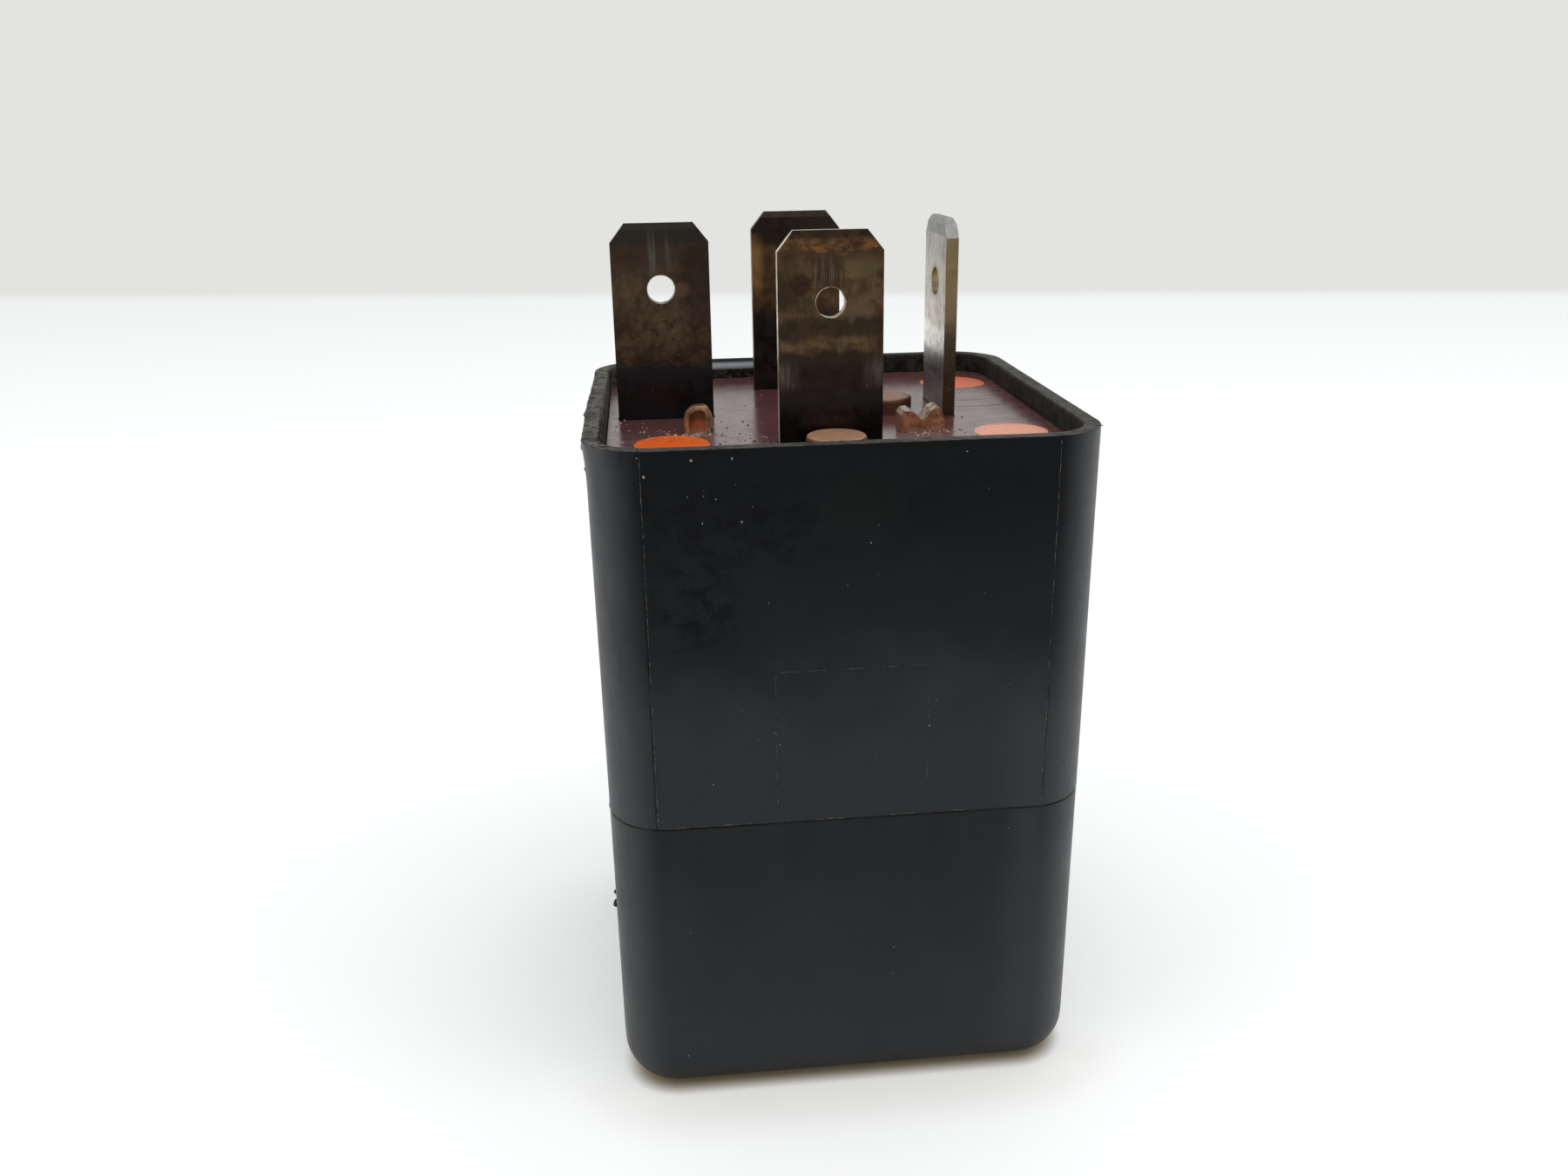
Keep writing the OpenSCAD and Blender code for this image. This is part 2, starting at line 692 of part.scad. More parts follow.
// The plate that joins the four studs, open at the front for the yoke, spring and braid
module top_flange() {
    w = stud_right_x - stud_left_x + stud_d;
    d = stud_back_y - stud_front_y + stud_d;
    translate([(stud_left_x + stud_right_x) / 2, (stud_front_y + stud_back_y) / 2])
        difference() {
            rounded_rect(w, d, stud_d / 2);
            translate([row_x - yoke_half - notch_gap - (stud_left_x + stud_right_x) / 2,
                -d / 2 - cut])
                square([2 * (yoke_half + notch_gap),
                    yoke_back_y - stud_front_y + stud_d / 2 + cut + notch_gap]);
        }
}

module bottom_flange() {
    translate([row_x, core_y]) rounded_rect(2 * flange_half_w, flange_depth, flange_corner_r);
}

// Two hooks that reach down beside the armature and stop it when it opens
module stop_hooks() {
    hook_y = armature_end_y - hook_w - hook_gap;
    for (side = [-1, 1])
        translate([row_x, hook_y, 0]) scale([side, 1, 1]) translate([0, hook_w, 0])
            rotate([90, 0, 0]) linear_extrude(hook_w) polygon([
                [flange_half_w - hook_t, former_low], [flange_half_w, former_low],
                [flange_half_w, stop_z - hook_t], [armature_w / 2 - hook_t, stop_z - hook_t],
                [armature_w / 2 - hook_t, stop_z], [flange_half_w - hook_t, stop_z]]);
}

module winding() {
    color([0.62, 0.3, 0.14]) translate([row_x, core_y, coil_low]) rotate_extrude()
        translate([tube_d / 2, 0]) {
            r = winding_edge_r;
            reach = (coil_d - tube_d) / 2;
            square([reach - r, coil_l]);
            translate([0, r]) square([reach, coil_l - 2 * r]);
            translate([reach - r, r]) circle(r);
            translate([reach - r, coil_l - r]) circle(r);
        }
}

// Where the lead wires leave the winding
function lead_spot(angle) =
    [row_x + lead_circle_r * cos(angle), core_y + lead_circle_r * sin(angle)];

module lead_left() {
    spot = lead_spot(left_lead_angle);
    turn_z = yoke_top + lead_rise;
    end_x = left_x + blade_w / 2 - lead_foot_inset;
    color([0.75, 0.38, 0.16]) wire([[spot.x, spot.y, coil_top], [spot.x, spot.y, turn_z],
        [end_x, lead_foot_y, turn_z], [end_x, lead_foot_y, foot_low]], lead_d);
}

module lead_back() {
    spot = lead_spot(back_lead_angle);
    color([0.75, 0.38, 0.16])
        wire([[spot.x, spot.y, coil_top], [spot.x, spot.y, foot_low]], lead_d);
}

module core() {
    color([0.55, 0.56, 0.58]) translate([row_x, core_y, 0]) rotate_extrude() {
        translate([0, pole_z]) square([pole_d / 2, pole_h]);
        translate([0, pole_z + pole_h]) square([core_d / 2, former_top - pole_z - pole_h]);
        translate([0, former_top]) square([stake_d / 2, yoke_t]);
        translate([0, yoke_top]) square([stake_head_d / 2, stake_h]);
    }
}

module yoke() {
    color([0.42, 0.3, 0.22]) {
        difference() {
            translate([row_x - yoke_half, 0, 0]) rotate([90, 0, 90])
                linear_extrude(2 * yoke_half) yoke_section();
            translate([row_x, core_y, former_top - cut]) cylinder(d = stake_d, h = yoke_t + 2 * cut);
            translate([row_x - anchor_w / 2, yoke_front_y - cut, anchor_z + anchor_t])
                cube([anchor_w, yoke_t + 2 * cut, anchor_reach]);
        }
        staked_lug();
        translate([row_x - keeper_w / 2, yoke_front_y, arm_top - arm_t - keeper_reach])
            cube([keeper_w, yoke_t, pole_z - arm_top + arm_t + keeper_reach]);
        spring_anchor();
    }
}

// Side view of the yoke: the upright leg, the top and the bend between them
module yoke_section() {
    bend_r = yoke_t;
    translate([yoke_front_y, pole_z]) square([yoke_t, yoke_top - bend_r - pole_z]);
    translate([yoke_front_y + bend_r, former_top])
        square([core_y + yoke_reach - yoke_front_y - bend_r, yoke_t]);
    intersection() {
        translate([yoke_front_y + bend_r, yoke_top - bend_r]) circle(bend_r);
        translate([yoke_front_y, yoke_top - bend_r]) square(bend_r);
    }
}

// The lug stands up through the board, and a chisel notch spreads its end into two peaks. The
// right peak is the higher and wider one, and it slopes away on its outer side.
module staked_lug() {
    peak_z = board_top + lug_h;
    lug_x = yoke_right_x - lug_w;
    // A point of the lug's end: a share of its width from the left, a share of the notch down
    function crest(across, down) = [lug_x + lug_w * across, peak_z - lug_notch * down];
    translate([0, yoke_front_y + yoke_t, 0]) rotate([90, 0, 0]) linear_extrude(yoke_t)
        polygon([[lug_x, yoke_top - yoke_t], [yoke_right_x, yoke_top - yoke_t],
            crest(1, 1.35), crest(0.95, 0.5), crest(0.88, 0.1), crest(0.8, 0), crest(0.68, 0.2),
            crest(0.58, 0.7), crest(0.49, 1), crest(0.4, 0.72), crest(0.3, 0.4),
            crest(0.2, 0.2), crest(0.08, 0.25), crest(0, 0.6)]);
}

// A lug bent forward from the yoke's leg, with a hole for the spring's upper hook
module spring_anchor() {
    translate([row_x, yoke_front_y, anchor_z]) difference() {
        union() {
            translate([-anchor_w / 2, -anchor_reach + anchor_w / 2, 0])
                cube([anchor_w, anchor_reach - anchor_w / 2, anchor_t]);
            translate([0, -anchor_reach + anchor_w / 2, 0]) cylinder(d = anchor_w, h = anchor_t);
        }
        translate([0, -spring_offset, -cut]) cylinder(d = spring_hole_d, h = anchor_t + 2 * cut);
    }
}

module fixed_contact() {
    color([0.8, 0.79, 0.76]) translate([contact_x, contact_y, fixed_face])
        cylinder(d = contact_d, h = fixed_contact_h);
}

// Both the armature and the arm below it are cut out round the yoke's keeper tongue
module keeper_window() {
    translate([row_x - keeper_w / 2 - keeper_gap, yoke_front_y - keeper_gap])
        square([keeper_w + 2 * keeper_gap, yoke_t + 2 * keeper_gap]);
}

module arm_rivet_holes() {
    for (side = [-1, 1])
        translate([row_x + side * arm_rivet_x, arm_rivet_y]) circle(d = arm_rivet_d);
}

module armature() {
    color([0.5, 0.5, 0.52]) opened() translate([0, 0, arm_top]) linear_extrude(armature_t)
        difference() {
            union() {
                translate([row_x - armature_w / 2, tail_shoulder_y])
                    square([armature_w, armature_end_y - tail_shoulder_y]);
                translate([row_x - tail_w / 2, tail_end_y])
                    square([tail_w, tail_shoulder_y - tail_end_y]);
            }
            keeper_window();
            arm_rivet_holes();
            translate([row_x, spring_y]) circle(d = spring_hole_d);
        }
}

// A thin arm under the armature: it carries the moving contact past the armature's free end,
// and a pad beside the tail takes the braid
module contact_arm() {
    color([0.72, 0.5, 0.28]) opened() translate([0, 0, arm_top - arm_t]) linear_extrude(arm_t)
        difference() {
            union() {
                translate([row_x - arm_w / 2, tail_shoulder_y])
                    square([arm_w, armature_end_y - tail_shoulder_y]);
                translate([row_x, contact_y - contact_end_r])
                    square([contact_x - row_x, 2 * contact_end_r]);
                translate([row_x, armature_end_y - cut])
                    square([arm_w / 2, contact_y - armature_end_y + cut]);
                translate([contact_x, contact_y]) circle(contact_end_r);
                translate([pad_x - pad_w / 2, pad_y - pad_w / 2])
                    square([pad_w, yoke_back_y - pad_y + pad_w / 2]);
            }
            keeper_window();
            arm_rivet_holes();
            translate([contact_x, contact_y]) circle(d = contact_shank_d);
        }
}

module moving_contact() {
    color([0.8, 0.79, 0.76]) opened() translate([contact_x, contact_y, arm_top])
        rivet(contact_d, contact_h, contact_shank_d, arm_t, contact_tail_d, contact_tail_h,
            contact_edge_r);
}

module arm_rivet(side) {
    color([0.65, 0.6, 0.5]) opened()
        translate([row_x + side * arm_rivet_x, arm_rivet_y, armature_top])
            rivet(arm_rivet_head_d, arm_rivet_head_h, arm_rivet_d, armature_t + arm_t,
                arm_rivet_head_d, arm_rivet_tail_h, arm_rivet_edge_r);
}

module arm_rivet_left() {
    arm_rivet(-1);
}

module arm_rivet_right() {
    arm_rivet(1);
}

// The spring's wire runs down the axis, through the tail's hole and forward under the tail;
// its upper end does the same through the yoke's anchor
module return_spring() {
    r = (spring_d - spring_wire_d) / 2;
    steps = 10;
    last = spring_turns * steps;
    // The first and last turns wind out from the axis
    function coil_r(i) = r * min(1, i / steps, (last - i) / steps);
    coil = [for (i = [0:last])
        [row_x + coil_r(i) * cos(360 * i / steps), spring_y + coil_r(i) * sin(360 * i / steps),
            spring_low + spring_l * i / last]];
    tail_z = open_z(spring_y, arm_top);
    // A hook's four bends from the axis outwards, above (up 1) or below (up -1) height z
    function hooked(z, up) = [for (bend = [[0, hook_bend], [0.3, hook_depth], [0.8, hook_depth],
        [1, hook_stub]]) [row_x, spring_y - hook_reach * bend[0], z + up * bend[1]]];
    low = hooked(tail_z, -1);
    low_end = [low[3], low[2], low[1], low[0], [row_x, spring_y, spring_low - hook_stub]];
    high_end = concat([[row_x, spring_y, spring_high + hook_stub]],
        hooked(anchor_z + anchor_t, 1));
    color([0.7, 0.7, 0.72]) swept(concat(low_end, coil, high_end), spring_wire_d, 6, [1, 0, 0]);
}

// The braid joins the front terminal's foot to the contact arm
module braid() {
    start = [row_x + blade_w / 2 - braid_d / 2 - braid_sink, front_y - braid_foot_shift, foot_low];
    pad_z = open_z(pad_y, arm_top);
    end = [pad_x + braid_pad_shift, open_y(pad_y, arm_top), pad_z + braid_sink];
    sag = (foot_low - pad_z) / 3;
    bow = [0, -braid_bow, 0];
    path = [for (i = [0:20]) let (t = i / 20, s = 1 - t)
        s * s * s * start + 3 * s * s * t * (start - [0, 0, sag] + bow)
        + 3 * s * t * t * (end + [0, 0, sag] + bow) + t * t * t * end];
    color([0.72, 0.42, 0.22]) swept(path, braid_d, 12, [1, 0, 0]);
}

cover();
base_board();
coil_former();
winding();
core();
yoke();
terminal_front();
terminal_left();
terminal_back();
terminal_right();
rivet_front();
rivet_right();
fixed_contact();
lead_left();
lead_back();
armature();
contact_arm();
moving_contact();
arm_rivet_left();
arm_rivet_right();
return_spring();
braid();
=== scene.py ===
from functools import partial, partialmethod, reduce
from math import cos, pi, radians, sin, sqrt
from random import Random

import bmesh
import bpy
import numpy as np
from mathutils import Matrix, Vector


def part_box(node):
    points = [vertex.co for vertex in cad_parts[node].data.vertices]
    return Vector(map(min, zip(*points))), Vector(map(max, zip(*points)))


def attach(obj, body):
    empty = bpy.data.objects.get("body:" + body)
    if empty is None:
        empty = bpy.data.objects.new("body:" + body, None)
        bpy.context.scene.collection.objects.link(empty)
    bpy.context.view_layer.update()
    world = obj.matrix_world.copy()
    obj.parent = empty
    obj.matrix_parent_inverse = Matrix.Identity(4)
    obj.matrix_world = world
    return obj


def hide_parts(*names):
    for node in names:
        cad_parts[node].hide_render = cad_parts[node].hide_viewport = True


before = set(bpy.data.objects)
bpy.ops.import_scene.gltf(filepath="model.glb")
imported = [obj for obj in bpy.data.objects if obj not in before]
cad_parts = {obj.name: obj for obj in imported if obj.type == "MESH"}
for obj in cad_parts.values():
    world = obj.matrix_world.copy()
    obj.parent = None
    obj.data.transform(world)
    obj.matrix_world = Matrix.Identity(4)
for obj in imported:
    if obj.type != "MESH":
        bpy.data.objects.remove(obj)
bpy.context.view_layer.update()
MM = 0.001


def node_box(node):
    """The low and the high corner of a CAD node's box, in millimetres."""
    low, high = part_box(node)
    return np.array(low) / MM, np.array(high) / MM


# ---- places from the frame, in millimetres ----
HALF_W, HALF_D, RIM_TOP = node_box("cover")[1]
BOARD_FOOT, BOARD_TOP = (corner[2] for corner in node_box("base_board"))
FRONT_LOW, FRONT_HIGH = node_box("terminal_front")
LEFT_LOW, LEFT_HIGH = node_box("terminal_left")
TIP = FRONT_HIGH[2]
ROW_X = float(FRONT_LOW[0] + FRONT_HIGH[0]) / 2
LEFT_X = float(LEFT_LOW[0] + LEFT_HIGH[0]) / 2
RIGHT_Y = float(node_box("terminal_right")[0][1] + (FRONT_HIGH[0] - FRONT_LOW[0]) / 2)
LEFT_TONGUE_Y = LEFT_LOW[1]
BACK_TONGUE_Y = node_box("terminal_back")[1][1]
FORMER_LOW, FORMER_HIGH = node_box("coil_former")

# ---- sizes of the cover, as in the part's source ----
CORNER_R = 3.9  # upright outer corners, at the rim
TAPER = 0.22  # how much further in the foot stands than the rim
STEP = 0.08  # the lower half's step inwards at the parting line
PARTING = 20.1  # height of that line
FOOT_R = 2.5  # rounding along the foot
RIM_WALL = 1
LOWER_WALL = 1.5
FLOOR_T = 1.6
CX, CY = HALF_W - CORNER_R, HALF_D - CORNER_R
LAND_DROP = 0.004  # from the rim's highest points to its land

# ---- sizes of the parts on the board ----
YOKE_Y = -6.9  # front of the yoke's lug
BLADE_T = 0.8
HOLE_R = 0.9
HOLE_DROP = 4.15  # from the blades' tips to the middle of their holes
TONGUE_T = 1.5
STUD_R = 2.25
STUD_BACK_Y = 9.25
STUDS = [(x, y) for y in (FORMER_LOW[1] + STUD_R, STUD_BACK_Y)
         for x in (FORMER_LOW[0] + STUD_R, FORMER_HIGH[0] - STUD_R)]
# Each blade's middle across its face, the middle of its thickness, and the way it faces
BLADES = ((ROW_X, node_box("rivet_front")[0][1] + 4.42, "y"), (LEFT_X, 0.2, "y"),
          (ROW_X, 9.35, "y"), (RIGHT_Y, 8.2, "x"))

# ---- light ----
BACKGROUND = (0.768, 0.768, 0.752)
SKY = (0.93, 0.95, 0.97)
SKY_STRENGTH = 0.72
FLOOR_GLOW = 0.25
BRONZE_LIT = 0.78  # how strongly the room lights the upright blades
TORN_GLOSS = (0.5, 0.7)  # lowest and highest roughness of torn plastic


def scene_object(name, data):
    obj = bpy.data.objects.new(name, data)
    bpy.context.collection.objects.link(obj)
    return obj


# ---- camera ----
def make_camera():
    sensor = 36
    place = Vector((-11.556, -87.945, 60.9625)) * MM
    yaw, pitch, roll = (radians(a) for a in (5.7729, 19.2142, -0.9075))
    data = bpy.data.cameras.new("camera")
    data.sensor_fit, data.sensor_width = "HORIZONTAL", sensor
    data.lens = sensor * 1527.99 / 1800
    data.clip_start, data.clip_end = 0.005, 20
    camera = scene_object("camera", data)
    turn = (Matrix.Rotation(-yaw, 4, "Z") @ Matrix.Rotation(pi / 2 - pitch, 4, "X")
            @ Matrix.Rotation(roll, 4, "Z"))
    camera.matrix_world = Matrix.Translation(place) @ turn
    bpy.context.scene.camera = camera


make_camera()


# ---- node materials ----
class Nodes:
    """Nodes added to a tree and linked, whose inputs are sockets or plain values."""

    def __init__(self, tree):
        self.tree = tree

    def put(self, socket, value):
        if isinstance(value, bpy.types.NodeSocket):
            self.tree.links.new(value, socket)
        elif socket.type == "RGBA":
            socket.default_value = (*value, 1)
        else:
            socket.default_value = value

    def node(self, kind, *values, **named):
        """A new node: values go to its inputs, and lower-case names are its settings."""
        n = self.tree.nodes.new("ShaderNode" + kind)
        for key, value in (*named.items(), *enumerate(values)):
            if isinstance(key, str) and key.islower():
                setattr(n, key, value)
            elif value is not None:
                self.put(n.inputs[key], value)
        return n

    def math(self, op, *values):
        return self.node("Math", *values, operation=op).outputs[0]

    def fold(self, op, *values):
        return reduce(partial(self.math, op), values)

    add = partialmethod(math, "ADD")
    sub = partialmethod(math, "SUBTRACT")
    div = partialmethod(math, "DIVIDE")
    abs = partialmethod(math, "ABSOLUTE")
    under = partialmethod(math, "LESS_THAN")
    over = partialmethod(math, "GREATER_THAN")
    line = partialmethod(math, "COMPARE")
    times = partialmethod(fold, "MULTIPLY")
    most = partialmethod(fold, "MAXIMUM")

    def hypot(self, a, b):
        return self.math("SQRT", self.add(self.times(a, a), self.times(b, b)))


class Mat(Nodes):
    """A node material whose textures read the object's own coordinates in millimetres.

    Its colour is held in paint: lay puts one layer over it, and finish links it all up.
    """

    def __init__(self, name, shine=0.5, **constants):
        self.material = bpy.data.materials.new(name)
        self.material.use_nodes = True
        super().__init__(self.material.node_tree)
        self.bsdf = self.tree.nodes["Principled BSDF"]
        self.paint = None
        self.p = self.node("VectorMath", self.node("TexCoord").outputs["Object"],
                           operation="SCALE", Scale=1 / MM).outputs[0]
        self.x, self.y, self.z = self.split(self.p)
        self.set_all(Specular_IOR_Level=shine, **constants)

    def set_all(self, **values):
        for key, value in values.items():
            self.put(self.bsdf.inputs[key.replace("_", " ")], value)

    def split(self, v):
        return self.node("SeparateXYZ", v).outputs[:3]

    def normal(self, kind="True Normal"):
        return self.split(self.node("NewGeometry").outputs[kind])

    def moved(self, stretch=None, shift=None):
        """The coordinates, shifted and then stretched."""
        at = self.p
        for op, by in (("ADD", shift), ("MULTIPLY", stretch)):
            if by is not None:
                at = self.node("VectorMath", at, by, operation=op).outputs[0]
        return at

    # -- masks --
    def map(self, value, low, high, out_low=0, out_high=1, kind="SMOOTHSTEP"):
        return self.node("MapRange", value, low, high, out_low, out_high,
                         interpolation_type=kind).outputs[0]

    def band(self, t, low, high, soft=0.3):
        return self.times(self.map(t, low - soft, low + soft),
                          self.map(t, high + soft, high - soft))

    def sway(self, value, by, reach):
        """The value, moved up and down by a noise over this reach."""
        return self.add(value, self.times(self.sub(by, 0.5), reach))

    def blob(self, u, v, centre, size, warp=None, soft=0.35):
        """1 inside an ellipse, fading out at its border, which the warp makes ragged."""
        r = self.hypot(self.div(self.sub(u, centre[0]), size[0]),
                       self.div(self.sub(v, centre[1]), size[1]))
        if warp is not None:
            r = self.sway(r, warp, 1.6)
        return self.map(r, 1 + soft, 1 - soft)

    def reach(self):
        """How far outside the cover's upright corner axes a point lies, seen from above."""
        return self.hypot(self.most(self.sub(self.abs(self.x), CX), 0),
                          self.most(self.sub(self.abs(self.y), CY), 0))

    # -- textures --
    def noise(self, scale, detail=3, rough=0.6, distort=0, **place):
        return self.node("TexNoise", Vector=self.moved(**place), Scale=scale, Detail=detail,
                         Roughness=rough, Distortion=distort).outputs[0]

    def spots(self, low, high, *grain, **place):
        """A mask that rises from 0 to 1 where a noise goes from low to high."""
        return self.map(self.noise(*grain, **place), low, high)

    def vary(self, low, high, *grain, **place):
        """A value that a noise moves between low and high."""
        return self.map(self.noise(*grain, **place), 0.3, 0.7, low, high)

    def specks(self, scale, size, share, shift=(0, 0, 0)):
        """1 inside sparse round specks: a share of cells of 1/scale mm holds one of size mm."""
        cells = self.node("TexVoronoi", Vector=self.moved(shift=shift), Scale=scale).outputs
        red, green, _ = self.node("SeparateColor", cells["Color"]).outputs[:3]
        near = self.under(cells["Distance"], self.times(green, size * scale))
        return self.times(near, self.under(red, share))

    # -- colour and finish --
    def mix(self, share, a, b):
        n = self.node("Mix", share, data_type="RGBA")
        self.put(n.inputs[6], a)
        self.put(n.inputs[7], b)
        return n.outputs[2]

    def lay(self, colour, *shares):
        """Lay a colour over the paint, as far as the shares multiplied together say."""
        self.paint = self.mix(self.times(*shares), self.paint, colour)

    def finish(self, rough, *layers):
        """Link colour, roughness and relief, whose layers are (height, its size in mm)."""
        last = None
        for height, size in layers:
            last = self.node("Bump", Strength=1, Distance=size * MM, Height=height,
                             Normal=last).outputs[0]
        self.put(self.bsdf.inputs["Base Color"], self.paint)
        self.set_all(Roughness=rough, Normal=last)
        return self.material


def tone(r, g, b):
    """A linear colour from display values, for a surface that the room lights dimly."""
    return tuple((v / 255 / 12.92 if v < 11 else ((v / 255 + 0.055) / 1.055) ** 2.4) / BRONZE_LIT
                 for v in (r, g, b))


def black_plastic():
    """Satin black moulding: darker up the front by a painted floor reflection, wiped smudges, grey
    rounded corners as painted highlights, and a grey rim.
    """
    m = Mat("satin_black_plastic", shine=0.075, Sheen_Weight=0.03, Sheen_Roughness=0.35)
    nx, ny, nz = m.normal("Normal")
    soft = m.noise(0.16, 3, 0.55)
    level = m.sway(m.z, soft, 9)
    # Darker up the front and paler lower down: a painted reflection of the floor
    m.paint = m.mix(m.map(level, 25.5, 33), (0.0245, 0.026, 0.0285), (0.009, 0.01, 0.0115))
    m.lay((0.0035, 0.004, 0.005), m.map(level, 33, 42))
    # Below the parting line, paler towards the foot and the sides: more of the painted reflection
    # of the floor
    below = m.under(m.z, PARTING)
    fall = m.sub(level, m.times(m.map(m.abs(m.x), 9, 12), 3))
    m.lay(m.mix(m.map(fall, 16, 3, kind="LINEAR"), (0.0165, 0.0175, 0.019),
                (0.028, 0.0295, 0.0315)), below)
    # A paler reach by the right corner, a painted reflection, and darker streaks that fade out
    # below the parting line
    m.lay((0.05, 0.052, 0.055), m.map(m.add(m.x, m.times(soft, 3)), 9.6, 13.2),
          m.map(m.z, 33, 24), 0.4)
    parting_streaks = m.noise(1, 4, 0.62, stretch=(0.55, 0.55, 0.11), shift=(0, 0, 40))
    m.lay((0.0125, 0.013, 0.014), m.map(m.z, PARTING - 6, PARTING - 0.5), below,
          m.map(parting_streaks, 0.36, 0.66), 0.6)
    # Wiped smudges high on the left, and fainter ones anywhere
    ragged = m.noise(0.75, 6, 0.68, stretch=(1, 1, 1.15), shift=(3, 0, 9), distort=0.3)
    wiped = m.most(m.blob(m.x, m.z, (-6.8, 39.8), (5.4, 3.2), soft=0.6),
                   m.blob(m.x, m.z, (-9.3, 35.2), (2.5, 3.6), soft=0.6),
                   m.times(m.blob(m.x, m.z, (3, 41.4), (7, 1.6), soft=0.5), 0.6))
    smudge = m.most(m.times(wiped, m.map(ragged, 0.43, 0.63)),
                    m.times(m.map(ragged, 0.6, 0.75), 0.2))
    m.lay((0.0015, 0.0018, 0.0024), smudge, 0.9)
    m.lay((0.014, 0.0145, 0.011), m.blob(m.x, m.z, (0.4, 40.2), (2.8, 2.2), ragged), 0.12)
    # Greyer round the upright corners, a painted highlight, and dark brown at the foot, a painted
    # shade under it
    m.lay((0.082, 0.086, 0.088), m.map(m.add(m.abs(nx), m.times(nx, 0.09)), 0.13, 0.95),
          m.map(m.abs(m.y), CY - 0.8, CY + 0.9),
          m.map(m.noise(0.8, stretch=(1, 1, 0.3)), 0.2, 0.8, 0.75, 1.05),
          m.map(m.z, 2, 24, 0.65, 0.9))
    m.lay((0.008, 0.0065, 0.005), m.map(m.z, 2.4, 1))
    # The rim's inner wall, brown-black and dusty, with flecks on the left
    dust = m.noise(1.3, 4, 0.7)
    inside = m.times(m.map(m.reach(), CORNER_R - 0.8, CORNER_R - 0.86),
                     m.over(m.z, BOARD_TOP - 0.2))
    m.lay(m.mix(m.map(dust, 0.35, 0.7), (0.007, 0.006, 0.005), (0.036, 0.03, 0.024)), inside)
    m.lay((0.16, 0.12, 0.085), inside, m.under(m.x, 0), m.spots(0.52, 0.66, 2.6, 4, 0.7), 0.6)
    # The rim's land: grey, mottled on the left and dark at the back
    land = m.times(m.map(m.z, RIM_TOP - 0.06, RIM_TOP - 0.03), m.map(nz, 0.6, 0.9))
    grey = m.mix(m.map(dust, 0.32, 0.68), (0.024, 0.0235, 0.021), (0.076, 0.073, 0.065))
    mottled = m.mix(m.spots(0.42, 0.6, 1.7, 5, 0.75), (0.013, 0.011, 0.009), (0.12, 0.11, 0.09))
    grey = m.mix(m.map(m.x, -13.2, -14.2), grey, mottled)
    grey = m.mix(m.map(m.y, HALF_D - 1.8, HALF_D - 1.2), grey, (0.01, 0.011, 0.012))
    m.lay(grey, land)
    # A painted reflection, pale and bluish, along a length of the back rim's inner edge
    m.lay((0.33, 0.37, 0.385), m.band(m.x, -12.4, 0.8, 0.9), m.map(m.y, HALF_D - 1.5, HALF_D - 1.2),
          m.band(m.z, RIM_TOP - 0.62, RIM_TOP - 0.22, 0.14), m.map(ny, -0.2, -0.4), 0.95)
    # Dark grooves beside the flash lines, and pale specks of dust
    upright = m.times(m.most(m.line(m.x, -12.28, 0.045), m.line(m.x, 12, 0.03)),
                      m.over(m.z, PARTING))
    m.lay((0.003, 0.003, 0.003), m.most(upright, m.line(m.z, PARTING - 0.1, 0.06)),
          m.map(m.noise(0.9, shift=(2, 2, 2)), 0.35, 0.6, 0.25, 0.85))
    m.lay((0.2, 0.2, 0.19), m.specks(1.2, 0.03, 0.1, (7, 3, 1)), 0.3)
    rough = m.sub(m.vary(0.34, 0.44, 0.6, shift=(0, 5, 0)), m.times(smudge, 0.08))
    return m.finish(m.add(rough, m.times(m.most(land, inside), 0.2)), (m.noise(5.5, 2), 0.003),
                    (m.noise(1, stretch=(2.6, 2.6, 0.12)), 0.006), (m.noise(0.13, 2, 0.5), 0.04),
                    (m.times(land, m.noise(4, 3, 0.7)), 0.03))


